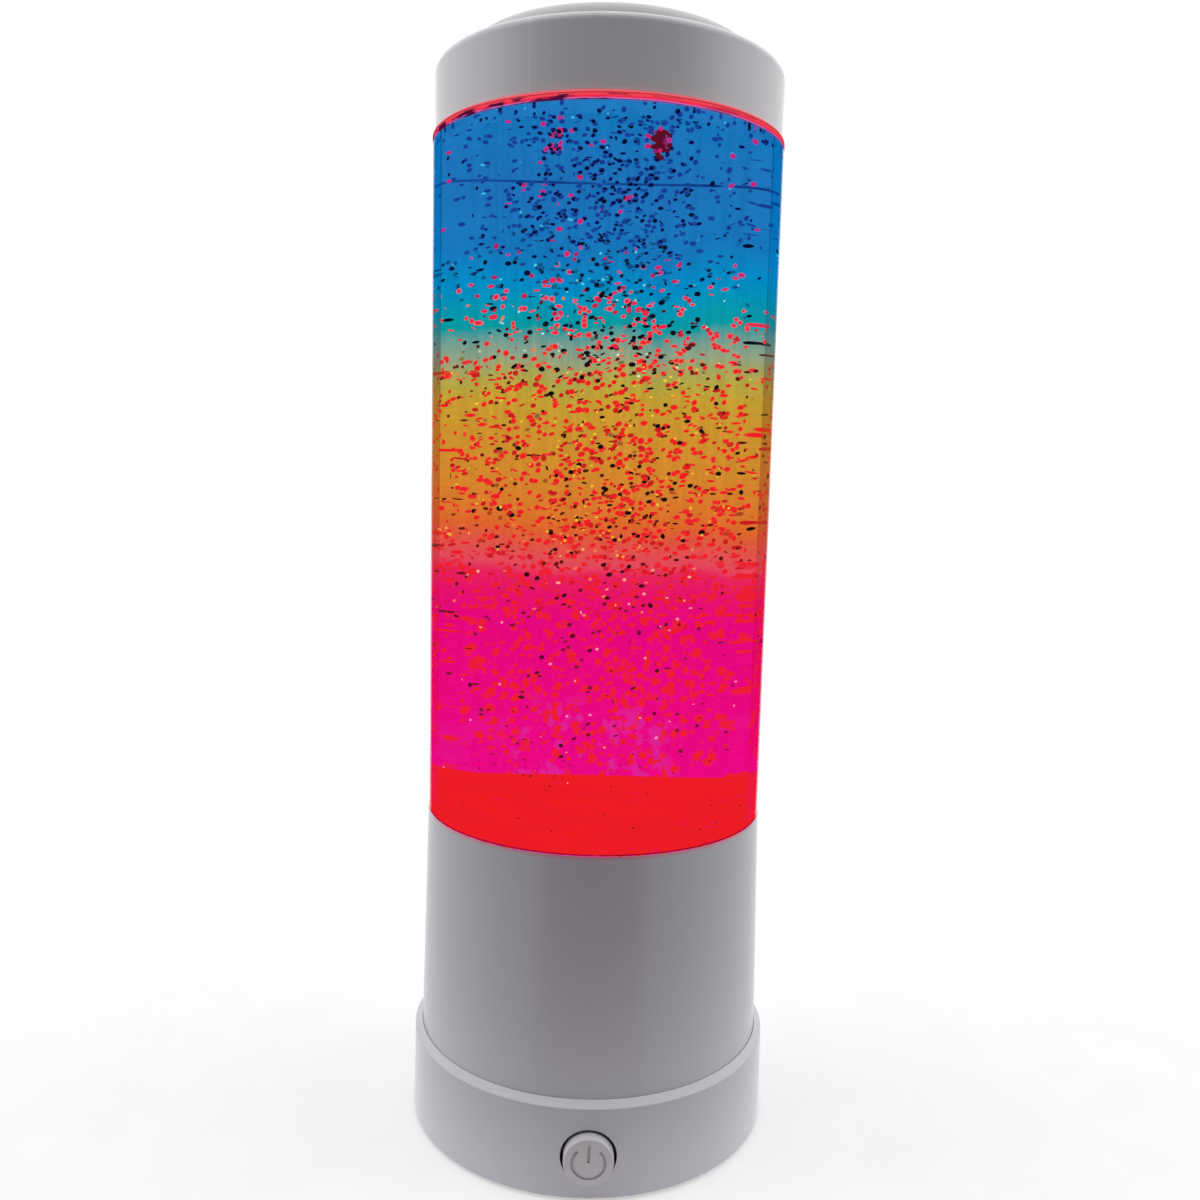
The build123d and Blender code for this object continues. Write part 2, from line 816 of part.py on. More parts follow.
# Power button: a hollow cap with a flange that keeps it in and a stem that works the switch
with BuildPart() as power_button:
    with BuildSketch(Plane.XZ.offset(-button_flange_front_y)):
        with Locations((0, button_z)):
            Circle(button_radius)
    extrude(amount=button_flange_front_y - button_face_y)
    face_edges = power_button.edges().filter_by(GeomType.CIRCLE).sort_by(Axis.Y)[0]
    fillet(face_edges, radius=button_edge_round)
    with BuildSketch(Plane.XZ.offset(-button_flange_front_y)):
        with Locations((0, button_z)):
            Circle(button_flange_radius)
    extrude(amount=-button_flange_thickness)
    with BuildSketch(Plane.XZ.offset(-button_back_y)):
        with Locations((0, button_z)):
            Circle(button_radius - button_wall)
    extrude(amount=button_hollow_depth, mode=Mode.SUBTRACT)
    with BuildSketch(Plane.XZ.offset(-stem_end_y)):
        with Locations((0, button_z)):
            Circle(stem_radius)
    extrude(amount=stem_length + button_hollow_depth + join)
    with BuildSketch(Plane.XZ.offset(-button_face_y)):
        symbol_start = 90 + symbol_tilt + symbol_gap_angle / 2
        symbol_radius = symbol_outer_radius - symbol_line / 2
        with BuildLine():
            CenterArc((0, button_z), symbol_radius, symbol_start, 360 - symbol_gap_angle)
        trace(line_width=symbol_line)
        with Locations(Location((0, button_z, 0), (0, 0, symbol_tilt))):
            with Locations((0, symbol_bar_length / 2)):
                SlotOverall(symbol_bar_length, symbol_line, rotation=90)
    extrude(amount=-symbol_depth, mode=Mode.SUBTRACT)
power_button.part.label = "power_button"
export_step(power_button.part, "parts/power_button.step")


# Switch plunger, pushed by the button's stem
with BuildPart() as switch_plunger:
    add_block(
        (-plunger_width / 2, stem_end_y, button_z - plunger_width / 2),
        (plunger_width / 2, switch_front_y + plunger_insertion, button_z + plunger_width / 2),
    )
switch_plunger.part.label = "switch_plunger"
export_step(switch_plunger.part, "parts/switch_plunger.step")


# Switch body with the well that the plunger runs in
with BuildPart() as switch_body:
    add_block(
        (-switch_width / 2, switch_front_y, button_z - switch_width / 2),
        (switch_width / 2, switch_back_y, button_z + switch_width / 2),
    )
    well_half = plunger_width / 2 + fixed_gap
    add_block(
        (-well_half, switch_front_y - overrun, button_z - well_half),
        (
            well_half,
            switch_front_y + plunger_insertion + button_travel + plunger_rest_gap,
            button_z + well_half,
        ),
        mode=Mode.SUBTRACT,
    )
    fillet(switch_body.edges().filter_by(Axis.Y).group_by(SortBy.LENGTH)[-1], radius=switch_edge_round)
switch_body.part.label = "switch_body"
export_step(switch_body.part, "parts/switch_body.step")


# Control board, standing in the grooves of the two posts
with BuildPart() as control_board:
    add_block(
        (-board_width / 2, switch_back_y, plate_top),
        (board_width / 2, board_back_y, plate_top + board_height),
    )
control_board.part.label = "control_board"
export_step(control_board.part, "parts/control_board.step")


# What is soldered on the board: the wire header, a chip and a capacitor
with BuildPart() as board_parts:
    add_block(
        (-header_width / 2, board_back_y, header_low),
        (header_width / 2, header_back_y, header_top),
    )
    add_block(
        (chip_x - chip_width / 2, board_back_y, plate_top + chip_lift),
        (chip_x + chip_width / 2, board_back_y + chip_depth, plate_top + chip_lift + chip_height),
    )
    with BuildSketch(Plane.XZ.offset(-board_back_y)):
        with Locations((capacitor_x, plate_top + capacitor_lift)):
            Circle(capacitor_radius)
    extrude(amount=-capacitor_length)
board_parts.part.label = "board_parts"
export_step(board_parts.part, "parts/board_parts.step")


# Deck that carries the motor below and the light board above
motor_screw_spots = ((-motor_screw_x, 0), (motor_screw_x, 0))
standoff_spots = polar_spots(standoff_circle, even_angles(standoff_count, standoff_turn))
with BuildPart() as motor_deck:
    add_discs(deck_low, deck_top, deck_radius)
    add_discs(deck_top - join, led_board_low, standoff_radius, spots=standoff_spots)
    add_discs(
        deck_low - overrun, deck_top + overrun, motor_boss_radius + fixed_gap, mode=Mode.SUBTRACT
    )
    add_discs(
        deck_low - overrun, deck_top + overrun, motor_screw_radius + thread_gap,
        spots=motor_screw_spots, mode=Mode.SUBTRACT,
    )
    add_discs(
        deck_low - overrun, deck_top + overrun, screw_radius + thread_gap,
        spots=deck_spots, mode=Mode.SUBTRACT,
    )
    add_discs(
        deck_low - overrun, deck_top + overrun, wire_hole_radius,
        spots=((0, wire_drop_y),), mode=Mode.SUBTRACT,
    )
    add_discs(
        led_board_low - board_screw_length, led_board_low + overrun,
        board_screw_radius + thread_gap, spots=standoff_spots, mode=Mode.SUBTRACT,
    )
motor_deck.part.label = "motor_deck"
export_step(motor_deck.part, "parts/motor_deck.step")


# Three screws that hold the deck up to its columns
with BuildPart() as deck_screws:
    add_screws(
        deck_low - screw_head_height, screw_head_radius, screw_head_height,
        deck_top + deck_screw_length - overrun, screw_radius, deck_spots,
    )
deck_screws.part.label = "deck_screws"
export_step(deck_screws.part, "parts/deck_screws.step")


# Motor can with flats, front and rear bearing bosses and two terminal tabs
with BuildPart() as motor:
    with BuildSketch(Plane.XY.offset(motor_low)):
        Circle(motor_radius)
        Rectangle(2 * motor_radius, motor_flat_width, mode=Mode.INTERSECT)
    extrude(amount=motor_length)
    fillet(motor.edges().group_by(Axis.Z)[0], radius=motor_edge_round)
    add_discs(motor_low - motor_boss_height, deck_low + motor_boss_height, motor_boss_radius)
    for side in (-1, 1):
        add_block(
            (
                side * motor_tab_x - motor_tab_width / 2,
                -motor_tab_thickness / 2,
                motor_tab_low,
            ),
            (
                side * motor_tab_x + motor_tab_width / 2,
                motor_tab_thickness / 2,
                motor_low + join,
            ),
        )
    add_discs(
        motor_low - motor_boss_height - overrun, deck_low + motor_boss_height + overrun,
        shaft_radius + bearing_gap, mode=Mode.SUBTRACT,
    )
    add_discs(
        deck_low - motor_screw_bite, deck_low + overrun, motor_screw_radius + thread_gap,
        spots=motor_screw_spots, mode=Mode.SUBTRACT,
    )
motor.part.label = "motor"
export_step(motor.part, "parts/motor.step")


# Two screws that hold the motor under the deck
with BuildPart() as motor_screws:
    add_screws(
        deck_top, motor_screw_head_radius, motor_screw_head_height,
        deck_low - motor_screw_bite + fixed_gap, motor_screw_radius, motor_screw_spots,
    )
motor_screws.part.label = "motor_screws"
export_step(motor_screws.part, "parts/motor_screws.step")


# Motor shaft, up to the top of the magnet carrier
with BuildPart() as motor_shaft:
    add_discs(motor_low - motor_boss_height, carrier_top - fixed_gap, shaft_radius)
motor_shaft.part.label = "motor_shaft"
export_step(motor_shaft.part, "parts/motor_shaft.step")


# Magnet carrier pressed on the shaft, with open pockets for two magnets
drive_magnet_spots = polar_spots(stirrer_magnet_circle, (0, 180))
with BuildPart() as magnet_carrier:
    add_discs(carrier_low, carrier_top, carrier_radius)
    add_discs(carrier_low - carrier_hub_height, carrier_low + join, carrier_hub_radius)
    add_discs(
        carrier_low - carrier_hub_height - overrun, carrier_top + overrun, shaft_radius,
        mode=Mode.SUBTRACT,
    )
    add_discs(
        carrier_top - drive_magnet_depth, carrier_top + overrun, drive_magnet_radius + thread_gap,
        spots=drive_magnet_spots, mode=Mode.SUBTRACT,
    )
magnet_carrier.part.label = "magnet_carrier"
export_step(magnet_carrier.part, "parts/magnet_carrier.step")


# Two magnets of the drive
with BuildPart() as drive_magnets:
    add_discs(
        carrier_top - drive_magnet_depth, carrier_top, drive_magnet_radius,
        spots=drive_magnet_spots,
    )
drive_magnets.part.label = "drive_magnets"
export_step(drive_magnets.part, "parts/drive_magnets.step")


# Ring-shaped light board round the magnet carrier
with BuildPart() as led_board:
    add_discs(led_board_low, led_board_top, led_board_radius, led_board_bore)
    add_discs(
        led_board_low - overrun, led_board_top + overrun, board_screw_radius + thread_gap,
        spots=standoff_spots, mode=Mode.SUBTRACT,
    )
led_board.part.label = "led_board"
export_step(led_board.part, "parts/led_board.step")


# Round lights with a flange and a domed top
led_spots = polar_spots(led_circle, even_angles(led_count))
with BuildPart() as leds:
    add_discs(led_board_top, led_board_top + led_flange_height, led_flange_radius, spots=led_spots)
    dome_z = led_board_top + led_flange_height + led_body_height
    add_discs(led_board_top, dome_z, led_radius, spots=led_spots)
    with Locations(*[(x, y, dome_z) for x, y in led_spots]):
        Sphere(led_radius)
leds.part.label = "leds"
export_step(leds.part, "parts/leds.step")


# Three screws of the light board
with BuildPart() as board_screws:
    add_screws(
        led_board_top, board_screw_head_radius, board_screw_head_height,
        led_board_low - board_screw_length + fixed_gap, board_screw_radius, standoff_spots,
    )
board_screws.part.label = "board_screws"
export_step(board_screws.part, "parts/board_screws.step")


# Frosted disc that spreads the light, lying on the housing's ledge
with BuildPart() as light_diffuser:
    add_discs(diffuser_low, tank_base_low, shell_bore - 2 * fixed_gap, diffuser_hole_radius)
light_diffuser.part.label = "light_diffuser"
export_step(light_diffuser.part, "parts/light_diffuser.step")


# Bottom of the tank, with a spigot for the tube and a boss for the stirrer's pin
with BuildPart() as tank_base:
    add_discs(tank_base_low, tank_base_top, tank_radius)
    add_discs(
        tank_base_top - join, tank_spigot_top, tank_bore - fixed_gap,
        tank_bore - fixed_gap - tank_spigot_wall,
    )
    add_discs(tank_base_top - join, tank_base_top + pin_boss_height, pin_boss_radius)
    add_discs(
        tank_base_top - pin_seat_depth, tank_base_top + pin_boss_height + overrun, pin_radius,
        mode=Mode.SUBTRACT,
    )
tank_base.part.label = "tank_base"
export_step(tank_base.part, "parts/tank_base.step")


# Clear tube of the tank
with BuildPart() as tank_tube:
    add_discs(tank_base_top, sleeve_top, tank_radius, tank_bore)
tank_tube.part.label = "tank_tube"
export_step(tank_tube.part, "parts/tank_tube.step")


# Steel pin that the stirrer turns on
with BuildPart() as stirrer_pin:
    add_discs(tank_base_top - pin_seat_depth, pin_top, pin_radius)
stirrer_pin.part.label = "stirrer_pin"
export_step(stirrer_pin.part, "parts/stirrer_pin.step")


# Stirrer: a disc with blades on top and magnet pockets underneath
stirrer_magnet_spots = polar_spots(stirrer_magnet_circle, (0, 180))
with BuildPart() as stirrer:
    add_discs(stirrer_low, stirrer_disc_top, stirrer_disc_radius)
    add_discs(stirrer_disc_top - join, stirrer_top, stirrer_hub_radius)
    add_radial_bars(
        stirrer_disc_top - join, stirrer_top, stirrer_hub_radius - join,
        stirrer_disc_radius - stirrer_blade_width, stirrer_blade_width,
        even_angles(stirrer_blade_count),
    )
    add_discs(
        stirrer_low - overrun, stirrer_top + overrun, pin_radius + bearing_gap, mode=Mode.SUBTRACT
    )
    add_discs(
        stirrer_low - overrun, stirrer_low + stirrer_magnet_depth,
        stirrer_magnet_radius + thread_gap, spots=stirrer_magnet_spots, mode=Mode.SUBTRACT,
    )
stirrer.part.label = "stirrer"
export_step(stirrer.part, "parts/stirrer.step")


# Two magnets of the stirrer
with BuildPart() as stirrer_magnets:
    add_discs(
        stirrer_low, stirrer_low + stirrer_magnet_depth, stirrer_magnet_radius,
        spots=stirrer_magnet_spots,
    )
stirrer_magnets.part.label = "stirrer_magnets"
export_step(stirrer_magnets.part, "parts/stirrer_magnets.step")


# Red floor plate of the tank: it glows, hides the stirrer and lets the liquid through
guard_leg_spots = polar_spots(guard_leg_circle, even_angles(guard_leg_count))
with BuildPart() as floor_plate:
    add_discs(guard_low, guard_top, guard_radius)
    add_discs(tank_base_top, guard_low + join, guard_leg_radius, spots=guard_leg_spots)
    with BuildSketch(Plane.XY.offset(guard_low - overrun)):
        for ring in guard_hole_rings:
            with PolarLocations(ring * guard_hole_spacing, ring * guard_hole_count):
                Circle(guard_hole_radius)
    extrude(amount=guard_thickness + 2 * overrun, mode=Mode.SUBTRACT)
floor_plate.part.label = "floor_plate"
export_step(floor_plate.part, "parts/floor_plate.step")


def flake_planes():
    """Places and tilts of the flakes, spread evenly through the liquid and never touching."""
    draw = random.Random(flake_seed)
    reach = tank_bore - flake_margin - flake_radius
    low = guard_top + flake_margin + flake_radius
    high = lid_low - flake_margin - flake_radius
    places = []
    while len(places) < flake_count:
        turn = draw.uniform(0, 2 * math.pi)
        out = reach * math.sqrt(draw.random())
        place = Vector(out * math.cos(turn), out * math.sin(turn), draw.uniform(low, high))
        if all((place - other.origin).length > flake_spacing for other in places):
            tilt = Vector(draw.gauss(0, 1), draw.gauss(0, 1), draw.gauss(0, 1)).normalized()
            places.append(Plane(origin=place, z_dir=tilt))
    return places


# Glitter: six-sided flakes cut from foil
with BuildPart() as glitter_flakes:
    with BuildSketch(*flake_planes()):
        RegularPolygon(flake_radius, 6)
    extrude(amount=flake_thickness)
glitter_flakes.part.label = "glitter_flakes"
export_step(glitter_flakes.part, "parts/glitter_flakes.step")


# Liquid: it fills the tank above the floor plate, the gap round its rim and the sump below
with BuildPart() as liquid_fill:
    liquid_radius = tank_bore - liquid_gap
    sump_bore = stirrer_disc_radius + stirrer_swing_gap
    sump_top = guard_low - liquid_gap
    add_discs(guard_top, lid_low, liquid_radius)
    add_discs(tank_spigot_top + liquid_gap, guard_top, liquid_radius, guard_radius + liquid_gap)
    add_discs(tank_spigot_top + liquid_gap, sump_top, liquid_radius, sump_bore)
    add_discs(
        tank_base_top + liquid_gap, sump_top,
        tank_bore - fixed_gap - tank_spigot_wall - liquid_gap, sump_bore,
    )
    add_discs(
        tank_base_top, sump_top + liquid_gap, guard_leg_radius + liquid_gap,
        spots=guard_leg_spots, mode=Mode.SUBTRACT,
    )
    add(glitter_flakes.part, mode=Mode.SUBTRACT)
liquid_fill.part.label = "liquid_fill"
export_step(liquid_fill.part, "parts/liquid_fill.step")


# Clear lid of the tank, with its filling hole
with BuildPart() as tank_lid:
    add_discs(lid_low, sleeve_top + join, tank_bore - fixed_gap)
    add_discs(sleeve_top, lid_top, tank_radius)
    add_discs(lid_low - overrun, lid_top + overrun, fill_hole_radius, mode=Mode.SUBTRACT)
tank_lid.part.label = "tank_lid"
export_step(tank_lid.part, "parts/tank_lid.step")


# Plug of the filling hole and the seal under its head
fill_seal_radius = fill_hole_radius + fill_seal_width
with BuildPart() as fill_plug:
    head_low = lid_top + fill_seal_height
    add_discs(lid_low, head_low + join, fill_hole_radius - thread_gap)
    add_discs(head_low, head_low + fill_head_height, fill_seal_radius + fill_head_step)
    fillet(fill_plug.edges().group_by(Axis.Z)[-1], radius=fill_head_step)
    with BuildSketch(Plane.XY.offset(head_low + fill_head_height / 2)):
        SlotOverall(fill_seal_radius, fill_seal_height)
    extrude(amount=fill_head_height, mode=Mode.SUBTRACT)
fill_plug.part.label = "fill_plug"
export_step(fill_plug.part, "parts/fill_plug.step")

with BuildPart() as plug_seal:
    add_discs(lid_top, lid_top + fill_seal_height, fill_seal_radius, fill_hole_radius)
plug_seal.part.label = "plug_seal"
export_step(plug_seal.part, "parts/plug_seal.step")


# Rainbow film behind the tank, open at the front
with BuildPart() as rainbow_film:
    half_window = math.radians(film_window_angle / 2)
    wedge_reach = 2 * film_inner_radius
    with BuildSketch(Plane.XY.offset(tank_base_low)):
        Circle(film_inner_radius + film_thickness)
        Circle(film_inner_radius, mode=Mode.SUBTRACT)
        with Locations(Location((0, 0, 0), (0, 0, film_window_turn))):
            Polygon(
                (0, 0),
                (-wedge_reach * math.sin(half_window), -wedge_reach * math.cos(half_window)),
                (0, -wedge_reach / math.cos(half_window)),
                (wedge_reach * math.sin(half_window), -wedge_reach * math.cos(half_window)),
                align=None,
                mode=Mode.SUBTRACT,
            )
    extrude(amount=sleeve_top - tank_base_low)
rainbow_film.part.label = "rainbow_film"
export_step(rainbow_film.part, "parts/rainbow_film.step")


# Clear sleeve, standing on the housing's top edge
with BuildPart() as clear_sleeve:
    add_discs(body_top, sleeve_top, sleeve_radius, sleeve_bore)
clear_sleeve.part.label = "clear_sleeve"
export_step(clear_sleeve.part, "parts/clear_sleeve.step")


# Red light ring between the sleeve and the cap
with BuildPart() as light_ring:
    ring_radius = sleeve_radius - light_ring_step
    add_discs(sleeve_top, light_ring_top, ring_radius, tank_radius + (film_space / 2))
    add_discs(lid_top, light_ring_top, ring_radius, light_ring_bore)
light_ring.part.label = "light_ring"
export_step(light_ring.part, "parts/light_ring.step")


# Cap: a tapered shell with a lip that drops into the light ring
cap_hole_radius = crown_radius - cap_hole_step
with BuildPart() as top_cap:
    lip_radius = light_ring_bore - cap_lip_gap
    shoulder_top = light_ring_top + cap_shoulder_height
    with BuildSketch(Plane.XZ):
        with BuildLine():
            Polyline(
                (lip_radius - cap_lip_width, lid_top + fixed_gap),
                (lip_radius, lid_top + fixed_gap),
                (lip_radius, light_ring_top),
                (cap_low_radius, light_ring_top),
                (cap_top_radius, cap_top),
                (cap_hole_radius, cap_top),
                (cap_hole_radius, cap_top - cap_wall),
                (cap_top_radius - cap_wall, cap_top - cap_wall),
                (cap_low_radius - cap_wall, shoulder_top),
                (lip_radius - cap_lip_width, shoulder_top),
                close=True,
            )
        make_face()
    revolve(axis=Axis.Z)
    rim_edge = top_cap.edges().filter_by(GeomType.CIRCLE).group_by(SortBy.RADIUS)[-1]
    fillet(rim_edge, radius=cap_edge_round)
top_cap.part.label = "top_cap"
export_step(top_cap.part, "parts/top_cap.step")


# Raised crown on the cap: a shallow dish with a rounded edge and a spigot
with BuildPart() as cap_crown:
    with BuildSketch(Plane.XZ):
        with BuildLine():
            shoulder_r = crown_radius - crown_edge_radius
            shoulder_z = cap_top + crown_side_height + crown_edge_radius
            Line((0, cap_top), (crown_radius, cap_top))
            Line((crown_radius, cap_top), (crown_radius, cap_top + crown_side_height))
            CenterArc((shoulder_r, cap_top + crown_side_height), crown_edge_radius, 0, 90)
            bow_r = (shoulder_r + crown_flat_radius) / 2
            bow_z = crown_top - (crown_top - shoulder_z) / 4
            ThreePointArc(
                (shoulder_r, shoulder_z), (bow_r, bow_z), (crown_flat_radius, crown_top)
            )
            Line((crown_flat_radius, crown_top), (0, crown_top))
            Line((0, crown_top), (0, cap_top))
        make_face()
    revolve(axis=Axis.Z)
    spigot_radius = cap_hole_radius - fixed_gap
    add_discs(cap_top - crown_spigot_depth, cap_top + join, spigot_radius)
    add_discs(
        cap_top - crown_spigot_depth - overrun, crown_top - crown_wall,
        spigot_radius - crown_spigot_wall, mode=Mode.SUBTRACT,
    )
cap_crown.part.label = "cap_crown"
export_step(cap_crown.part, "parts/cap_crown.step")


# Two leads from the motor's tabs to the board's header
with BuildPart() as motor_leads:
    for side in (-1, 1):
        lead_x = side * motor_wire_x
        sweep_wire(
            (
                (lead_x, 0, motor_tab_low),
                (lead_x, 0, wire_cross_z),
                (lead_x, wire_drop_y, wire_cross_z),
                (lead_x, wire_drop_y, header_top),
            ),
            wire_bend,
        )
motor_leads.part.label = "motor_leads"
export_step(motor_leads.part, "parts/motor_leads.step")


# Two leads from the light board down to the header, through the hole in the deck
with BuildPart() as light_leads:
    for side in (-1, 1):
        lead_x = side * led_wire_x
        sweep_wire(
            (
                (lead_x, wire_drop_y, led_board_low),
                (lead_x, wire_drop_y, led_board_low - wire_straight),
                (lead_x, wire_drop_y + wire_bow, (led_board_low + header_top) / 2),
                (lead_x, wire_drop_y, header_top + wire_straight),
                (lead_x, wire_drop_y, header_top),
            ),
            wire_bow_radius,
        )
light_leads.part.label = "light_leads"
export_step(light_leads.part, "parts/light_leads.step")


# Two leads from the battery contacts, over the holder's roof to the header
with BuildPart() as battery_leads:
    tab_top = holder_roof_top + contact_tab_height
    for side, wall_y in ((-1, holder_front_y), (1, holder_back_y)):
        lead_x = side * battery_wire_x
        tab_y = wall_y - side * contact_thickness / 2
        sweep_wire(
            (
                (lead_x, tab_y, tab_top),
                (lead_x, tab_y, wire_cross_z),
                (lead_x, wire_drop_y, wire_cross_z),
                (lead_x, wire_drop_y, header_top),
            ),
            wire_bend,
        )
battery_leads.part.label = "battery_leads"
export_step(battery_leads.part, "parts/battery_leads.step")
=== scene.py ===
import math
import random

import bmesh
import bpy
from mathutils import Matrix, Vector


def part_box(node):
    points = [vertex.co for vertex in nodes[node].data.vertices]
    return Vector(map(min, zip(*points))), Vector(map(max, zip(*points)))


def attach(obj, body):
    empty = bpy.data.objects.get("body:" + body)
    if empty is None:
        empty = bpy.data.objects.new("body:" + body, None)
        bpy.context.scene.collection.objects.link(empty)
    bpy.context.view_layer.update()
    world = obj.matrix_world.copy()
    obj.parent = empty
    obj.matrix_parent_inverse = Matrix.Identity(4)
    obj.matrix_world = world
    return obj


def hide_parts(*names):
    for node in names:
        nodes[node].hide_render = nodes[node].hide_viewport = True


# Glitter lamp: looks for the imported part, in metres, in the part's own frame.

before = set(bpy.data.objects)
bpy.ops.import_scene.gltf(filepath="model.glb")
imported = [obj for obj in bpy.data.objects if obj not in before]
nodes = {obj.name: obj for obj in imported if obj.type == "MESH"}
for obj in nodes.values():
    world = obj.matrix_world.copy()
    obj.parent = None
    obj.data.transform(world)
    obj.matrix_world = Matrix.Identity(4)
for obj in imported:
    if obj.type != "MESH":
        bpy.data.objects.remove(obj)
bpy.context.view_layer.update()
MM = 0.001

# Levels and radii read from the part
tank_low, tank_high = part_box("tank_tube")
liquid_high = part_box("liquid_fill")[1]
floor_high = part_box("floor_plate")[1].z
sleeve_low, sleeve_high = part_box("clear_sleeve")
film_low, film_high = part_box("rainbow_film")
ring_low, ring_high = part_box("light_ring")
housing_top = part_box("base_housing")[1].z


# Small tools for node materials

def srgb(red, green, blue):
    """A colour given as it is seen on screen, 0 to 255, as linear values."""
    def channel(value):
        value /= 255
        return value / 12.92 if value <= 0.04045 else ((value + 0.055) / 1.055) ** 2.4
    return (channel(red), channel(green), channel(blue), 1.0)


def scaled(colour, share):
    return tuple(share * channel for channel in colour[:3]) + (1.0,)


def new_tree(name):
    material = bpy.data.materials.new(name)
    material.use_nodes = True
    material.node_tree.nodes.clear()
    return material, material.node_tree


def put(tree, kind, inputs=(), **settings):
    """A node with its settings and its inputs, each a value or the socket that feeds it."""
    made = tree.nodes.new(kind)
    for name, value in settings.items():
        setattr(made, name, value)
    for name, value in dict(inputs).items():
        socket = made.inputs[name]
        if isinstance(value, bpy.types.NodeSocket):
            tree.links.new(value, socket)
        else:
            socket.default_value = value
    return made


def finish_tree(tree, shader):
    output = put(tree, "ShaderNodeOutputMaterial")
    tree.links.new(shader.outputs[0], output.inputs["Surface"])


def place(tree):
    """The point on the piece, in metres."""
    return put(tree, "ShaderNodeTexCoord").outputs["Object"]


def axis(tree, point, name):
    return put(tree, "ShaderNodeSeparateXYZ", {"Vector": point}).outputs[name]


def math_node(tree, operation, first, second=0.0):
    made = put(tree, "ShaderNodeMath", operation=operation)
    for socket, value in zip(made.inputs, (first, second)):
        if isinstance(value, bpy.types.NodeSocket):
            tree.links.new(value, socket)
        else:
            socket.default_value = value
    return made.outputs[0]


def vector_math(tree, operation, first, second):
    return put(tree, "ShaderNodeVectorMath", {0: first, 1: second}, operation=operation).outputs[0]


def noise(tree, point, scale, detail=2.0, stretch=(1, 1, 1), roughness=0.5):
    """Noise with a pattern of 1/scale metres, stretched along the axes."""
    mapped = put(tree, "ShaderNodeMapping", {"Vector": point, "Scale": stretch})
    return put(
        tree, "ShaderNodeTexNoise",
        {"Vector": mapped.outputs[0], "Scale": scale, "Detail": detail, "Roughness": roughness},
    ).outputs["Fac"]


def step(tree, value, low, high, out_low=0.0, out_high=1.0):
    """A smooth step of a value, from out_low at low to out_high at high."""
    return put(
        tree, "ShaderNodeMapRange",
        {"Value": value, "From Min": low, "From Max": high, "To Min": out_low, "To Max": out_high},
        interpolation_type="SMOOTHSTEP",
    ).outputs[0]


def mix_colour(tree, factor, first, second, blend="MIX"):
    made = put(tree, "ShaderNodeMix", data_type="RGBA", blend_type=blend)
    for socket, value in ((made.inputs[0], factor), (made.inputs[6], first), (made.inputs[7], second)):
        if isinstance(value, bpy.types.NodeSocket):
            tree.links.new(value, socket)
        else:
            socket.default_value = value
    return made.outputs[2]


def ramp(tree, value, stops):
    """A colour ramp over stops of (position, colour)."""
    made = put(tree, "ShaderNodeValToRGB", {"Fac": value})
    elements = made.color_ramp.elements
    while len(elements) < len(stops):
        elements.new(0.5)
    for element, (position, colour) in zip(elements, stops):
        element.position = position
        element.color = colour
    return made.outputs["Color"]


def mix_shaders(tree, factor, first, second):
    made = put(tree, "ShaderNodeMixShader")
    if isinstance(factor, bpy.types.NodeSocket):
        tree.links.new(factor, made.inputs[0])
    else:
        made.inputs[0].default_value = factor
    tree.links.new(first.outputs[0], made.inputs[1])
    tree.links.new(second.outputs[0], made.inputs[2])
    return made


# Materials of the casing and the inner pieces

GAP_REACH = 3 * MM  # reach of the painted shade in the gap round the button
GROOVE_REACH = 0.9 * MM  # narrower grooves are shaded
PAINTED_RIM_LIGHT = (-1.2 * MM, -0.1 * MM)  # where painted pink light from the lit tank colours the base, beside its top edge
PAINTED_RING_LIGHT = (0.1 * MM, 0.7 * MM)  # where painted pink light from the lit ring colours the cap, above the ring
HIGHLIGHT_STREAK_X = -19 * MM  # a faint lighter streak down the front of the cap, a painted highlight
HIGHLIGHT_STREAK_EDGE = (0.2 * MM, 0.5 * MM)
HIGHLIGHT_STREAK_TINT = (1.08, 1.08, 1.08, 1)
GROOVE_TINT = (0.76, 0.75, 0.76, 1)
BUMP_DEPTH = 0.3 * MM  # of full-strength grain in plastic
TOOL_MARK_DEPTH = PEBBLE_DEPTH = 0.2 * MM  # the same in metal and in rubber


def moulded(name, colour, roughness, grain=900.0, grain_depth=0.02, cloud=0.01, paint=None):
    """Moulded plastic: soft clouds in its colour, fine grain and slightly uneven gloss."""
    material, tree = new_tree(name)
    point = place(tree)
    clouds = step(tree, noise(tree, point, 25.0, 1.0), 0.2, 0.8)
    tinted = mix_colour(tree, clouds, scaled(colour, 1 - cloud), scaled(colour, 1 + cloud))
    if paint:
        tinted = paint(tree, point, tinted)
    fine = noise(tree, point, grain, 4.0)
    gloss = step(tree, noise(tree, point, 40.0, 1.0), 0.2, 0.8, roughness - 0.02, roughness + 0.02)
    bump = put(tree, "ShaderNodeBump", {"Height": fine, "Strength": grain_depth, "Distance": BUMP_DEPTH})
    finish_tree(tree, put(tree, "ShaderNodeBsdfPrincipled", {
        "Base Color": tinted, "Roughness": gloss, "Normal": bump.outputs[0], "IOR": 1.49,
    }))
    return material


def open_share(tree, distance, only_local):
    """How open a point is to its surroundings, from 0 in a narrow gap to 1 on a free face."""
    return put(
        tree, "ShaderNodeAmbientOcclusion", {"Distance": distance}, samples=8, only_local=only_local
    ).outputs["AO"]


def painted_gap_shade(tree, point, colour):
    """Painted shade, dark in the gap round the button."""
    openness = step(tree, open_share(tree, GAP_REACH, False), 0.25, 0.5)
    return mix_colour(tree, openness, srgb(20, 18, 20), colour)


def painted_rim_light(tree, point, colour):
    """Painted pink light from the lit tank on the top edge of the base, and painted shade in the gaps."""
    low, high = (housing_top + level for level in PAINTED_RIM_LIGHT)
    near = step(tree, axis(tree, point, "Z"), low, high)
    return mix_colour(tree, near, painted_gap_shade(tree, point, colour), srgb(232, 160, 178))


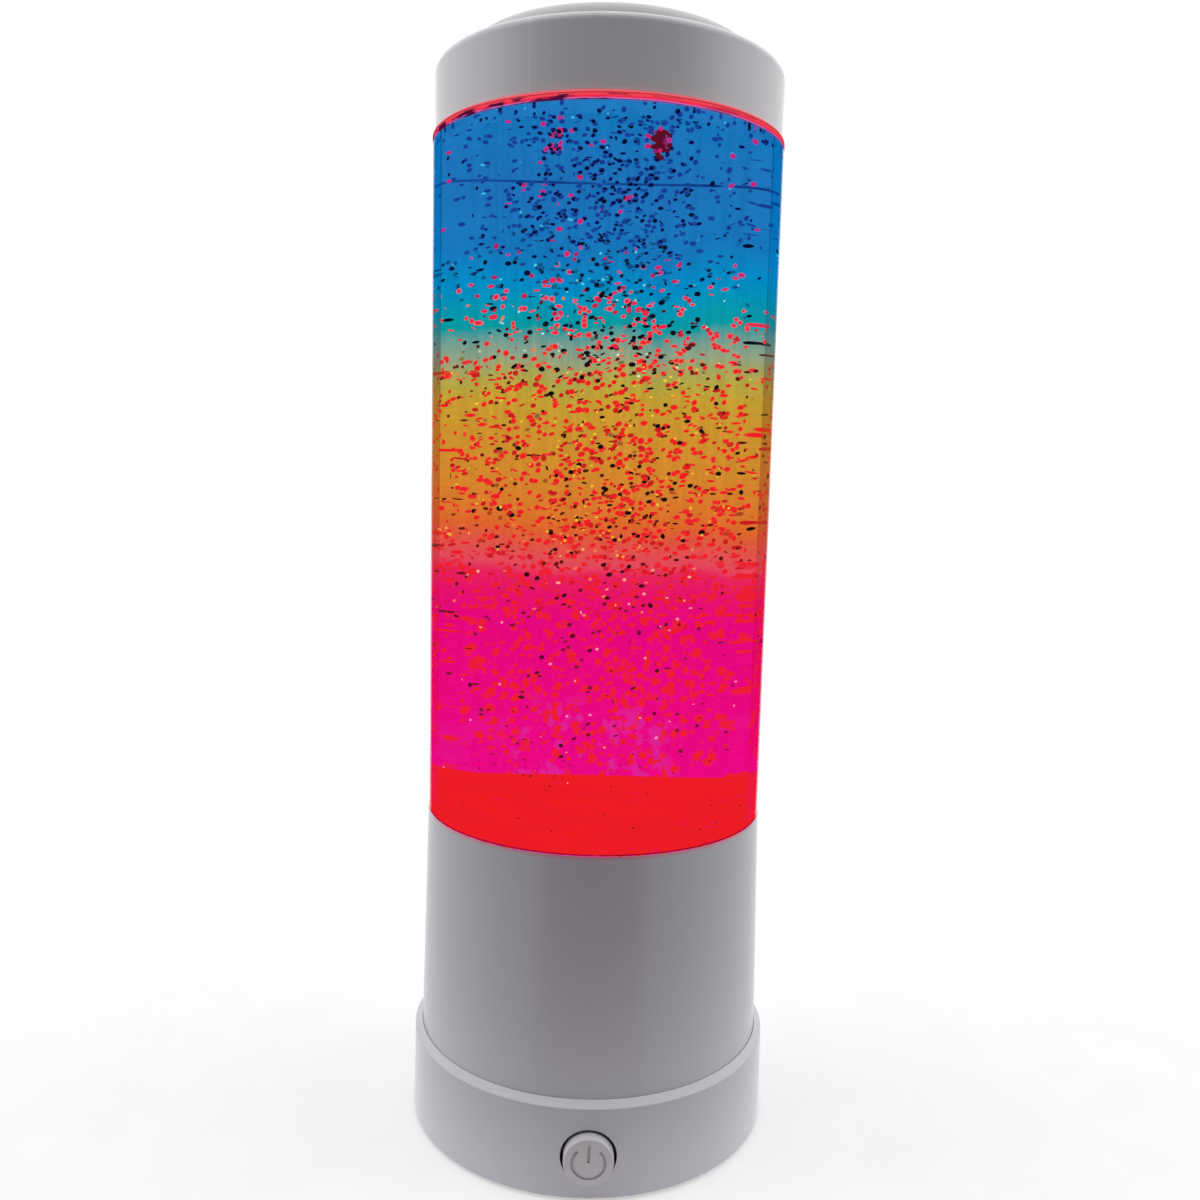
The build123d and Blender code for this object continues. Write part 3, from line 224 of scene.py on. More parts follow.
def painted_cap_light(tree, point, colour):
    """Painted pink light from the lit ring on the cap's lower edge, and a faint lighter streak at its left, a
    painted highlight.
    """
    # Painted highlight: a lighter streak down the front of the cap
    beside = math_node(tree, "SUBTRACT", axis(tree, point, "X"), HIGHLIGHT_STREAK_X)
    line = step(tree, math_node(tree, "ABSOLUTE", beside), *HIGHLIGHT_STREAK_EDGE, 1.0, 0.0)
    front = step(tree, axis(tree, point, "Y"), -1 * MM, 0.0, 1.0, 0.0)
    line = math_node(tree, "MULTIPLY", line, front)
    colour = mix_colour(tree, line, colour, mix_colour(tree, 1.0, colour, HIGHLIGHT_STREAK_TINT, "MULTIPLY"))
    low, high = (ring_high.z + level for level in PAINTED_RING_LIGHT)
    near = step(tree, axis(tree, point, "Z"), low, high, 0.7, 0.0)
    return mix_colour(tree, near, colour, srgb(232, 150, 165))


def dark_grooves(tree, point, colour):
    """Shade in narrow grooves, such as the engraved sign on the button."""
    shade = mix_colour(tree, 1.0, colour, GROOVE_TINT, "MULTIPLY")
    openness = step(tree, open_share(tree, GROOVE_REACH, True), 0.45, 0.95)
    return mix_colour(tree, openness, shade, colour)


def metal(name, colour, roughness, brushed=(1, 1, 1)):
    """Plated or turned metal with fine tool marks."""
    material, tree = new_tree(name)
    point = place(tree)
    marks = noise(tree, point, 700.0, 5.0, brushed)
    gloss = step(tree, marks, 0.3, 0.7, roughness - 0.06, roughness + 0.10)
    worn = mix_colour(tree, step(tree, marks, 0.2, 0.8), colour, scaled(colour, 0.7))
    bump = put(tree, "ShaderNodeBump", {"Height": marks, "Strength": 0.05, "Distance": TOOL_MARK_DEPTH})
    finish_tree(tree, put(tree, "ShaderNodeBsdfPrincipled", {
        "Base Color": worn, "Roughness": gloss, "Normal": bump.outputs[0], "Metallic": 1.0,
    }))
    return material


def rubber(name, colour):
    """Matt rubber with a fine pebbled surface."""
    material, tree = new_tree(name)
    point = place(tree)
    pebbles = put(tree, "ShaderNodeTexVoronoi", {"Vector": point, "Scale": 1500.0}).outputs["Distance"]
    shade = mix_colour(tree, step(tree, noise(tree, point, 200.0), 0.3, 0.7), colour, scaled(colour, 0.8))
    bump = put(tree, "ShaderNodeBump", {"Height": pebbles, "Strength": 0.2, "Distance": PEBBLE_DEPTH})
    finish_tree(tree, put(tree, "ShaderNodeBsdfPrincipled", {
        "Base Color": shade, "Roughness": 0.75, "Normal": bump.outputs[0],
    }))
    return material


def clear(name, ior, tint):
    """Clear plastic or liquid: it refracts, and mirrors at grazing angles and where light can't get out."""
    material, tree = new_tree(name)
    through = put(tree, "ShaderNodeBsdfRefraction", {"Color": tint, "Roughness": 0.0, "IOR": ior})
    mirror = put(tree, "ShaderNodeBsdfGlossy", {"Color": tint, "Roughness": 0.0})
    share = put(tree, "ShaderNodeFresnel", {"IOR": ior}).outputs[0]
    finish_tree(tree, mix_shaders(tree, step(tree, share, 0.35, 0.75), through, mirror))
    return material


def glowing(name, colour):
    material, tree = new_tree(name)
    finish_tree(tree, put(tree, "ShaderNodeEmission", {"Color": colour}))
    return material


def hazy(name, first, second):
    """Own light that wanders softly between two colours."""
    material, tree = new_tree(name)
    clouds = step(tree, noise(tree, place(tree), 90.0, 3.0), 0.35, 0.68)
    finish_tree(tree, put(tree, "ShaderNodeEmission", {"Color": mix_colour(tree, clouds, first, second)}))
    return material


# The film: its colours by height, as they look with the lamp on

FILM_STOPS = (
    (262.0, srgb(29, 111, 182)),  # deep blue
    (250.0, srgb(27, 117, 186)),  # blue
    (243.0, srgb(22, 117, 185)),  # azure
    (233.0, srgb(3, 138, 196)),  # cyan
    (229.0, srgb(4, 145, 186)),  # sea blue
    (224.0, srgb(6, 151, 170)),  # teal
    (220.2, srgb(9, 151, 158)),  # sea green
    (216.0, srgb(112, 156, 144)),  # grey green
    (212.0, srgb(140, 161, 134)),  # sage
    (208.0, srgb(163, 162, 98)),  # moss
    (204.0, srgb(177, 165, 68)),  # olive
    (199.0, srgb(195, 159, 51)),  # mustard
    (190.0, srgb(204, 147, 46)),  # gold
    (179.0, srgb(209, 137, 44)),  # ochre
    (167.0, srgb(218, 117, 43)),  # amber
    (163.4, srgb(221, 102, 43)),  # orange
    (159.5, srgb(222, 88, 62)),  # brick
    (152.0, srgb(227, 72, 92)),  # coral
    (149.0, srgb(230, 34, 92)),  # rose
    (143.0, srgb(230, 17, 106)),  # deep rose
    (136.0, srgb(230, 8, 124)),  # pink
    (90.0, srgb(234, 7, 131)),  # magenta
)
FLAP_STOPS = (
    (262.0, (0.35, 1.0, 1.0, 1)),
    (232.0, (0.42, 0.96, 1.0, 1)),
    (220.0, (0.70, 0.82, 0.88, 1)),
    (205.0, (0.76, 0.70, 0.80, 1)),
    (190.0, (0.86, 0.72, 0.84, 1)),
    (166.0, (0.86, 0.72, 0.95, 1)),
    (150.0, (0.95, 0.90, 0.82, 1)),
    (110.0, (1.0, 0.95, 0.78, 1)),
    (104.0, (1.0, 0.97, 0.97, 1)),
)
FILM_START, FILM_END = 61.65, 294.35  # degrees round from the front, over the back
FILM_THICKNESS = 0.2 * MM
FLAP_GLOW = 0.08  # share of own light on each face of the film's front edges
FLAP_FADE = 0.35  # of the film's radius, behind the axis: from there on it only glows
FLAP_LINE = (0.25 * MM, 0.35 * MM)  # the darker line along each front edge fades this far from it
FLAP_LINE_RISE = (205 * MM, 240 * MM)  # it grows stronger between these heights
FLAP_LINE_TINT = (0.1, 0.1, 0.2, 1)
WAVE = 2.6 * MM  # how far the film's colours wander up and down
WAVE_RISE = (165 * MM, 205 * MM)  # they wander more above these heights
STREAK_RISE = (150 * MM, 205 * MM)  # and the upright streaks are stronger above these
DIMMER, BRIGHTER = (0.90, 0.92, 0.94, 1), (1.10, 1.08, 1.06, 1)  # the grain's tints of the glow
PALE_PATCHES = (104 * MM, 116 * MM)  # the patches end between these heights
RED_SHAPES = (150 * MM, 162 * MM)  # the shapes of settled glitter end between these heights
LIT_FOOT = (3.2 * MM, 1.4 * MM)  # how high the lit floor shines on the film, at its left and elsewhere
LIT_FOOT_TURN = (-25 * MM, -18 * MM)  # the first height passes into the second between these places across


def height_ramp(tree, height, table):
    """A colour ramp over heights in millimetres, given from the top down."""
    low, high = table[-1][0], table[0][0]
    share = put(
        tree, "ShaderNodeMapRange",
        {"Value": height, "From Min": low * MM, "From Max": high * MM},
    ).outputs[0]
    return ramp(tree, share, [((z - low) / (high - low), colour) for z, colour in reversed(table)])


def blobs(tree, point, scale, reach, share, stretch=(1, 1, 1)):
    """Soft round spots, about one in each cell of 1/scale metres, in a share of the cells."""
    point = put(tree, "ShaderNodeMapping", {"Vector": point, "Scale": stretch}).outputs[0]
    bend = put(tree, "ShaderNodeTexNoise", {"Vector": point, "Scale": scale * 1.5, "Detail": 2.0})
    bend = vector_math(tree, "SUBTRACT", bend.outputs["Color"], (0.5, 0.5, 0.5))
    bend = vector_math(tree, "MULTIPLY", bend, (0.7 / scale,) * 3)
    point = vector_math(tree, "ADD", point, bend)
    cells = put(tree, "ShaderNodeTexVoronoi", {"Vector": point, "Scale": scale})
    inside = step(tree, cells.outputs["Distance"], reach, reach * 1.4, 1.0, 0.0)
    chance = put(tree, "ShaderNodeSeparateColor", {"Color": cells.outputs["Color"]}).outputs["Red"]
    chosen = step(tree, chance, share - 0.01, share + 0.01, 1.0, 0.0)
    return math_node(tree, "MULTIPLY", inside, chosen)


def film_glow(tree, point):
    """The film's colours by height, with grain and settled glitter."""
    height, across = axis(tree, point, "Z"), axis(tree, point, "X")
    waves = step(tree, noise(tree, point, 22.0, 3.0, (3.6, 1, 0.6)), 0.34, 0.66, -WAVE, WAVE)
    waves = math_node(tree, "MULTIPLY", waves, step(tree, height, *WAVE_RISE, 0.4, 1.0))
    glow = height_ramp(tree, math_node(tree, "ADD", height, waves), FILM_STOPS)

    # Grain of the print and of the glitter that lies against it
    grain = step(tree, noise(tree, point, 800.0, 3.0, (2.3, 2.3, 1)), 0.3, 0.7, -0.5, 0.5)
    streaks = step(tree, noise(tree, point, 260.0, 3.0, (4, 4, 0.12)), 0.3, 0.7, -0.5, 0.5)
    streaks = math_node(tree, "MULTIPLY", streaks, step(tree, height, *STREAK_RISE, 0.25, 1.0))
    uneven = math_node(tree, "ADD", math_node(tree, "MULTIPLY", grain, 0.6), streaks)
    glow = mix_colour(
        tree, step(tree, uneven, -0.8, 0.8),
        mix_colour(tree, 1.0, glow, DIMMER, "MULTIPLY"),
        mix_colour(tree, 1.0, glow, BRIGHTER, "MULTIPLY"),
    )

    # Pink zone: paler patches near the floor, most of them in the middle, and red shapes
    patches = step(tree, noise(tree, point, 150.0, 5.0, (1.9, 1.9, 1), 0.6), 0.52, 0.57)
    middle = step(tree, math_node(tree, "ABSOLUTE", across), 10 * MM, 16 * MM, 1.0, 0.2)
    patches = math_node(tree, "MULTIPLY", patches, middle)
    patches = math_node(tree, "MULTIPLY", patches, step(tree, height, *PALE_PATCHES, 1.0, 0.0))
    glow = mix_colour(tree, patches, glow, srgb(222, 34, 150))
    large = blobs(tree, point, 310.0, 0.33, 0.58, (1.9, 1.9, 1))
    small = blobs(tree, point, 450.0, 0.28, 0.22, (1.6, 1.6, 1))
    shapes = math_node(tree, "MAXIMUM", large, small)
    shapes = math_node(tree, "MULTIPLY", shapes, step(tree, height, *RED_SHAPES, 1.0, 0.0))
    glow = mix_colour(tree, shapes, glow, srgb(237, 30, 50))

    # The lit floor shines on the film's foot
    lit_top = step(tree, across, *LIT_FOOT_TURN, *LIT_FOOT)
    lit_top = math_node(tree, "ADD", lit_top, floor_high)
    lit = step(tree, math_node(tree, "SUBTRACT", height, lit_top), -0.1 * MM, 0.1 * MM, 1.0, 0.0)
    return mix_colour(tree, lit, glow, srgb(237, 28, 36))


def film_tint(tree, point):
    """The tint of the film's front edges, with a darker line along each."""
    height, across = axis(tree, point, "Z"), axis(tree, point, "X")
    near, far = FLAP_LINE
    left_edge = film_high.x * math.sin(math.radians(FILM_END))
    right_edge = film_high.x * math.sin(math.radians(FILM_START))
    left_line = step(tree, across, left_edge - far, left_edge - near)
    right_line = step(tree, across, right_edge + near, right_edge + far, 1.0, 0.0)
    line = math_node(tree, "MULTIPLY", left_line, right_line)
    line = math_node(tree, "MULTIPLY", line, step(tree, axis(tree, point, "Y"), -2 * MM, 0.0, 1.0, 0.0))
    line = math_node(tree, "MULTIPLY", line, step(tree, height, *FLAP_LINE_RISE, 0.05, 0.25))
    return mix_colour(tree, line, height_ramp(tree, height, FLAP_STOPS), FLAP_LINE_TINT)


def film_material():
    """The rainbow film. It glows at the back. Its two front edges let light through."""
    material, tree = new_tree("film_rainbow")
    point = place(tree)
    emission = put(tree, "ShaderNodeEmission", {"Color": film_glow(tree, point)})
    window = put(tree, "ShaderNodeBsdfTransparent", {"Color": film_tint(tree, point)})
    backwards = axis(tree, point, "Y")
    flap = step(tree, backwards, 0.0, FLAP_FADE * film_high.x, 1.0 - FLAP_GLOW, 0.0)
    finish_tree(tree, mix_shaders(tree, flap, emission, window))
    return material


BLOT_COLOUR = srgb(78, 12, 60)
RING_BANDS = (  # share of the ring's height and its colour, from the bottom up
    (0.00, srgb(168, 120, 205)),  # lavender edge
    (0.08, srgb(34, 24, 92)),  # dark line
    (0.19, srgb(198, 120, 200)),  # lavender line
    (0.30, srgb(236, 30, 74)),  # red band
    (0.68, srgb(246, 74, 84)),  # coral line
    (0.80, srgb(150, 34, 44)),  # dark line
    (0.87, srgb(244, 92, 104)),  # coral edge
)


def ring_material():
    """The glowing ring: fine bands, with maroon blots where the light is uneven."""
    material, tree = new_tree("ring_glow")
    point = place(tree)
    height = put(tree, "ShaderNodeMapRange", {
        "Value": axis(tree, point, "Z"), "From Min": ring_low.z, "From Max": ring_high.z,
    }).outputs[0]
    wobble = step(tree, noise(tree, point, 60.0, 2.0), 0.2, 0.8, -0.05, 0.05)
    bands = ramp(tree, math_node(tree, "ADD", height, wobble), RING_BANDS)
    blots = step(tree, noise(tree, point, 110.0, 3.0, (1, 1, 6)), 0.49, 0.57)
    left = step(tree, axis(tree, point, "X"), 0.0, 12 * MM, 1.0, 0.35)
    low = step(tree, height, 0.60, 0.74, 1.0, 0.0)
    share = math_node(tree, "MULTIPLY", math_node(tree, "MULTIPLY", blots, left), low)
    colour = mix_colour(tree, share, bands, BLOT_COLOUR)
    finish_tree(tree, put(tree, "ShaderNodeEmission", {"Color": colour}))
    return material


def floor_glow_material():
    material, tree = new_tree("floor_glow")
    point = place(tree)
    clouds = step(tree, noise(tree, point, 60.0, 2.0), 0.3, 0.7)
    colour = mix_colour(tree, clouds, srgb(237, 28, 36), srgb(235, 27, 38))
    spots = blobs(tree, point, 160.0, 0.12, 0.35)
    colour = mix_colour(tree, spots, colour, srgb(232, 20, 84))
    finish_tree(tree, put(tree, "ShaderNodeEmission", {"Color": colour}))
    return material


MATERIALS = {
    "white": moulded("white_plastic", srgb(198, 198, 205), 0.15, paint=painted_gap_shade),
    "housing": moulded("housing_plastic", srgb(198, 198, 205), 0.15, paint=painted_rim_light),
    "cap": moulded("cap_plastic", srgb(214, 213, 219), 0.16, paint=painted_cap_light),
    "crown": moulded("crown_plastic", srgb(214, 216, 214), 0.5),
    "button": moulded("button_plastic", srgb(202, 200, 203), 0.30, paint=dark_grooves),
    "underside": moulded("underside_plastic", srgb(214, 213, 217), 0.48, grain=1600.0, grain_depth=0.12),
    "grey": moulded("grey_plastic", srgb(150, 152, 156), 0.5, grain=1500.0, grain_depth=0.1),
    "stirrer": moulded("stirrer_plastic", srgb(232, 230, 226), 0.4),
    "black": moulded("black_plastic", srgb(28, 28, 30), 0.42, grain=1500.0, grain_depth=0.1),
    "plunger": moulded("plunger_plastic", srgb(178, 40, 36), 0.4),
    "frosted": moulded("frosted_plastic", srgb(236, 238, 240), 0.6, grain=2500.0, grain_depth=0.2),
    "board": moulded("board_green", srgb(26, 98, 58), 0.35, grain=2500.0, grain_depth=0.05),
    "cell": moulded("cell_wrap", srgb(60, 92, 138), 0.3),
    "red_wire": moulded("red_wire", srgb(190, 32, 30), 0.45),
    "yellow_wire": moulded("yellow_wire", srgb(222, 186, 40), 0.45),
    "black_wire": moulded("black_wire", srgb(30, 30, 32), 0.45),
    "screw": metal("screw_steel", srgb(176, 178, 182), 0.32),
    "motor": metal("motor_steel", srgb(188, 190, 192), 0.35, (1, 1, 12)),
    "magnet": metal("magnet_nickel", srgb(196, 196, 194), 0.22),
    "contact": metal("contact_nickel", srgb(206, 204, 196), 0.25, (1, 8, 1)),
    "rubber": rubber("soft_rubber", srgb(58, 58, 60)),
    "seal": rubber("seal_rubber", srgb(176, 62, 44)),
    "lens": glowing("lamp_lens", srgb(255, 120, 110)),
    "plug": clear("plug_clear", 1.49, srgb(214, 226, 244)),
    "tank": clear("clear_tank", 1.34, (1.0, 1.0, 1.0, 1.0)),
    "lid": clear("clear_lid", 1.49, srgb(236, 242, 248)),
    "rim_band": hazy("rim_band", srgb(25, 106, 177), srgb(33, 124, 193)),
    "seam": hazy("seam_glue", srgb(16, 52, 126), srgb(24, 84, 158)),
    "seat": glowing("seat_shade", srgb(120, 16, 28)),
    "film": film_material(),
    "ring": ring_material(),
    "floor_glow": floor_glow_material(),
}

NODE_MATERIALS = {
    "white": ("foot_ring",),
    "cap": ("top_cap",),
    "housing": ("base_housing",),
    "crown": ("cap_crown",),
    "button": ("power_button",),
    "underside": ("base_plate", "battery_door"),
    "grey": ("motor_deck", "magnet_carrier"),
    "black": ("battery_holder", "switch_body", "board_parts"),
    "plunger": ("switch_plunger",),
    "stirrer": ("stirrer",),
    "frosted": ("light_diffuser",),
    "board": ("control_board", "led_board"),
    "cell": ("batteries",),
    "red_wire": ("battery_leads",),
    "yellow_wire": ("light_leads",),
    "black_wire": ("motor_leads",),
    "screw": ("base_screws", "door_screw", "deck_screws", "motor_screws", "board_screws", "stirrer_pin"),
    "motor": ("motor", "motor_shaft"),
    "magnet": ("drive_magnets", "stirrer_magnets"),
    "contact": ("battery_contacts",),
    "rubber": ("rubber_pads",),
    "seal": ("plug_seal",),
    "lens": ("leds",),
    "plug": ("fill_plug",),
    "lid": ("tank_lid",),
    "ring": ("light_ring",),
    "floor_glow": ("floor_plate", "tank_base"),
}
for key, names in NODE_MATERIALS.items():
    for name in names:
        nodes[name].data.materials.clear()
        nodes[name].data.materials.append(MATERIALS[key])


# Pieces made here

STEPS = 256
SHARP_ANGLE = math.radians(30)
SKIN = 0.02 * MM  # keeps faces of neighbours apart


def turned(name, profile, material, first=0.0, last=360.0):
    """A smooth solid turned round the lamp's axis from a closed profile of (radius, height).
    Angles are in degrees from the front, counted towards the right."""
    mesh = bpy.data.meshes.new(name)
    build = bmesh.new()
    whole = last - first >= 360
    count_of_turns = STEPS if whole else STEPS + 1
    turns = [math.radians(first + (last - first) * count / STEPS) for count in range(count_of_turns)]
    rings = []
    for radius, height in profile:
        if radius == 0:
            rings.append([build.verts.new((0, 0, height))] * len(turns))
        else:
            rings.append([
                build.verts.new((radius * math.sin(turn), -radius * math.cos(turn), height)) for turn in turns
            ])
    pairs = list(zip(rings, rings[1:]))
    if profile[0][0] != 0:
        pairs.append((rings[-1], rings[0]))
    for lower, upper in pairs:
        for count in range(STEPS):
            after = (count + 1) % len(turns)
            corners = (lower[count], lower[after], upper[after], upper[count])
            build.faces.new(list(dict.fromkeys(corners)))
    if not whole:
        build.faces.new([ring[0] for ring in rings])
        build.faces.new([ring[-1] for ring in rings])
    bmesh.ops.recalc_face_normals(build, faces=build.faces)
    for face in build.faces:
        face.smooth = True
    for edge in build.edges:
        if len(edge.link_faces) == 2 and edge.calc_face_angle() > SHARP_ANGLE:
            edge.smooth = False
    build.to_mesh(mesh)
    build.free()
    return add_piece(name, mesh, (material,))


def add_piece(name, mesh, materials):
    piece = bpy.data.objects.new(name, mesh)
    bpy.context.scene.collection.objects.link(piece)
    for material in materials:
        mesh.materials.append(material)
    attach(piece, "lamp")
    return piece


# Sleeve, tube and liquid bend light as one clear body. The tube's wall stands above the liquid,
# whose surface mirrors the film from below.
sleeve_radius = sleeve_high.x - SKIN
tank_bore = liquid_high.x
tank = turned(
    "clear_tank",
    [
        (0, tank_low.z),
        (tank_high.x, tank_low.z),
        (tank_high.x, sleeve_low.z + SKIN),
        (sleeve_radius, sleeve_low.z + SKIN),
        (sleeve_radius, sleeve_high.z - SKIN),
        (tank_bore, sleeve_high.z - SKIN),
        (tank_bore, liquid_high.z - SKIN),
        (0, liquid_high.z - SKIN),
    ],
    MATERIALS["tank"],
)
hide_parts("clear_sleeve", "tank_tube", "liquid_fill")

film_outer, film_inner = film_high.x - SKIN, film_high.x - FILM_THICKNESS + SKIN
film = turned(
    "film_wrap",
    [
        (film_inner, film_low.z + SKIN),
        (film_outer, film_low.z + SKIN),
        (film_outer, film_high.z - SKIN),
        (film_inner, film_high.z - SKIN),
    ],
    MATERIALS["film"], FILM_START, FILM_END,
)
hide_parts("rainbow_film")

# A hazy blue band in the tube's wall above the liquid, glowing with painted light like the film's top
band_outer, band_low = tank_bore + 0.4 * MM, liquid_high.z - 0.4 * MM
turned(
    "tank_rim_band",
    [
        (tank_bore + SKIN, band_low),
        (band_outer, band_low),
        (band_outer, sleeve_high.z - 2 * SKIN),
        (tank_bore + SKIN, sleeve_high.z - 2 * SKIN),
    ],
    MATERIALS["rim_band"],
)


BEAD_STEP = 1.5  # degrees
BEAD_SIDES = 6
SEAM_SPANS = ((100, 153.1), (153.8, 180.5), (181.1, 257))  # degrees; the gaps look like dashes


def bead(name, radius, height, thickness, wander, spans, material):
    """A thin uneven bead round the axis, in spans of degrees from the front."""
    draw = random.Random(3)
    mesh = bpy.data.meshes.new(name)
    build = bmesh.new()
    for first, last in spans:
        count = max(4, int((last - first) / BEAD_STEP))
        rings = []
        for number in range(count + 1):
            turn = math.radians(first + (last - first) * number / count)
            size = thickness * draw.uniform(0.6, 1.0) * min(1.0, 0.3 + number, 0.3 + count - number)
            lift = draw.uniform(-wander, wander)
            rings.append([
                build.verts.new((
                    (radius + size * math.cos(side)) * math.sin(turn),
                    -(radius + size * math.cos(side)) * math.cos(turn),
                    height + lift + size * math.sin(side),
                ))
                for side in (2 * math.pi * corner / BEAD_SIDES for corner in range(BEAD_SIDES))
            ])
        for lower, upper in zip(rings, rings[1:]):
            for corner in range(BEAD_SIDES):
                after = (corner + 1) % BEAD_SIDES
                build.faces.new((lower[corner], lower[after], upper[after], upper[corner]))
        build.faces.new(rings[0])
        build.faces.new(rings[-1])
    bmesh.ops.recalc_face_normals(build, faces=build.faces)
    build.to_mesh(mesh)
    build.free()
    return add_piece(name, mesh, (material,))


bead(
    "seam_bead", radius=tank_bore - 0.27 * MM, height=liquid_high.z - 0.17 * MM,
    thickness=0.23 * MM, wander=0.02 * MM, spans=SEAM_SPANS, material=MATERIALS["seam"],
)
# A thin dark red line where the sleeve sits on the base: painted shade, a contact shadow
bead(
    "seat_shadow_line", radius=sleeve_radius - 0.35 * MM, height=sleeve_low.z + 0.25 * MM,
    thickness=0.16 * MM, wander=0.0, spans=((0, 359.9),), material=MATERIALS["seat"],
)


# Glitter: foil discs, loose in the liquid

# Colours of the foil by height in millimetres, from the top down, 0 to 255 as seen on screen
# Pale, white and yellow foil are painted glints
FOIL_COLOURS = {
    "red": ((240, (198, 34, 106)), (222, (230, 44, 78)), (205, (236, 32, 36)), (150, (236, 30, 40))),
    "rim": (
        (240, (138, 76, 186)), (222, (246, 112, 128)), (212, (240, 96, 72)), (200, (236, 76, 40)),
        (160, (236, 52, 50)), (140, (236, 20, 82)),
    ),
    "black": ((240, (6, 14, 52)), (215, (14, 14, 24)), (160, (26, 10, 12)), (130, (88, 14, 34))),
    "shade": (
        (240, (24, 58, 144)), (222, (10, 96, 122)), (208, (128, 116, 64)), (180, (160, 82, 32)),
        (158, (176, 52, 36)), (140, (214, 22, 72)),
    ),
    "haze": (
        (240, (24, 92, 166)), (222, (8, 122, 150)), (208, (150, 142, 84)), (180, (184, 110, 40)),
        (158, (202, 74, 44)), (140, (224, 18, 92)),
    ),
    "maroon": ((240, (40, 28, 92)), (215, (92, 26, 26)), (160, (98, 20, 18)), (130, (132, 22, 40))),
    "clot": ((262, (92, 14, 36)), (240, (84, 12, 30))),
    "pale": (
        (240, (70, 180, 226)), (215, (150, 214, 206)), (200, (240, 196, 90)), (160, (252, 176, 130)),
        (130, (250, 150, 168)),
    ),
    "crimson": (
        (240, (146, 32, 110)), (222, (196, 36, 66)), (205, (198, 34, 30)), (160, (204, 28, 36)),
        (140, (222, 18, 62)),
    ),
    "orange": ((225, (232, 120, 96)), (205, (240, 130, 44)), (150, (244, 120, 70))),
    "yellow": ((230, (90, 210, 220)), (205, (238, 206, 52)), (150, (250, 170, 50))),
    "white": ((240, (150, 220, 240)), (200, (250, 250, 230))),
}


def foil(kind, table):
    """Foil that glows in a colour by its height: painted light, standing in for how the lamp lights it."""
    material, tree = new_tree("foil_" + kind)
    stops = [(height, srgb(*seen)) for height, seen in table]
    colour = height_ramp(tree, axis(tree, place(tree), "Z"), stops)
    finish_tree(tree, put(tree, "ShaderNodeEmission", {"Color": colour}))
    return material


FLAKE_KINDS = {kind: foil(kind, table) for kind, table in FOIL_COLOURS.items()}
FLAKE_SLOTS = list(FLAKE_KINDS)
FLAKE_THICKNESS = 0.04 * MM
FLAKE_SIDES = 10
FACE_SHARE = 0.72  # of a flake's radius, inside its rim
RIM_CHANCE = 0.85
FLAKE_RIMS = {"red": "rim", "black": "shade", "shade": "haze"}
BARE_BLACK_TOP = 225 * MM  # black flakes below this have no rim
FACING_CHANCE, LYING_CHANCE = 0.68, 0.28  # flakes that face the front, and flatter ones
CENTRED_CHANCE, CENTRED_SHARE = 0.6, 0.5  # black flakes drawn towards the middle, and how far
WALL_GAP, TOP_GAP, FLOOR_GAP = 1.2 * MM, 1.2 * MM, 0.9 * MM  # loose flakes keep this far off
CROWD_WIDTH = 12 * MM  # spread of the flakes that crowd in the middle
CROWD_LEVEL = 206 * MM  # above it more flakes crowd in the middle
CROWD_CHANCES = (0.3, 0.08)  # above and below that level
WALL_FLAKES, WALL_FLAKE_SIZE = 170, 0.72
SIDE_FLAKES, SIDE_FLAKE_SIZE = 48, 0.66
SIDE_HEIGHTS = (112, 258, 190)  # millimetres: lowest, highest and most likely
SIDE_RED_TOP = 215  # millimetres
SIDE_REDS = (("red", 0.62), ("maroon", 0.38))
# Clumps under the lid: place across, kinds, flakes and spread, in millimetres
CLUMPS = (
    (-11.0, ("red", "red", "black"), 9, 1.2),
    (10.0, ("clot", "clot", "clot", "crimson", "red"), 30, 1.6),
)
CLUMP_DEPTH = -12  # millimetres, in front of the axis
CLUMP_TOP_GAP, CLUMP_HEIGHT = 0.6, 1.1  # millimetres, below the liquid's top
CLUMP_FLAKE_RADII = (0.5 * MM, 0.8 * MM)
# Zones from the top down: lowest level, flakes per millimetre, radius, shares of the kinds
FLAKE_ZONES = (
    (236, 25, 0.70, (("black", 0.38), ("shade", 0.56), ("red", 0.04), ("pale", 0.02))),
    (224, 23, 0.70, (
        ("black", 0.44), ("shade", 0.29), ("red", 0.17), ("crimson", 0.05), ("pale", 0.03), ("yellow", 0.02),
    )),
    (206, 27, 0.74, (
        ("black", 0.22), ("red", 0.44), ("crimson", 0.08), ("shade", 0.05), ("maroon", 0.09), ("pale", 0.04),
        ("orange", 0.06), ("white", 0.02),
    )),
    (158, 33, 0.75, (
        ("red", 0.46), ("crimson", 0.14), ("black", 0.09), ("maroon", 0.14), ("orange", 0.08),
        ("yellow", 0.07), ("shade", 0.02),
    )),
    (140, 20, 0.78, (
        ("red", 0.52), ("crimson", 0.12), ("maroon", 0.17), ("black", 0.06), ("orange", 0.05), ("pale", 0.08),
    )),
    (106, 10, 0.74, (("red", 0.72), ("maroon", 0.17), ("black", 0.05), ("pale", 0.06))),
    (88, 6, 0.42, (("maroon", 0.50), ("red", 0.43), ("yellow", 0.04), ("white", 0.03))),
)
# Sizes of the kinds beside their zone's radius
KIND_SIZES = {
    "red": 1.0, "crimson": 0.9, "black": 0.88, "shade": 0.95, "maroon": 0.68, "pale": 0.5, "orange": 0.55,
    "yellow": 0.5, "white": 0.4,
}


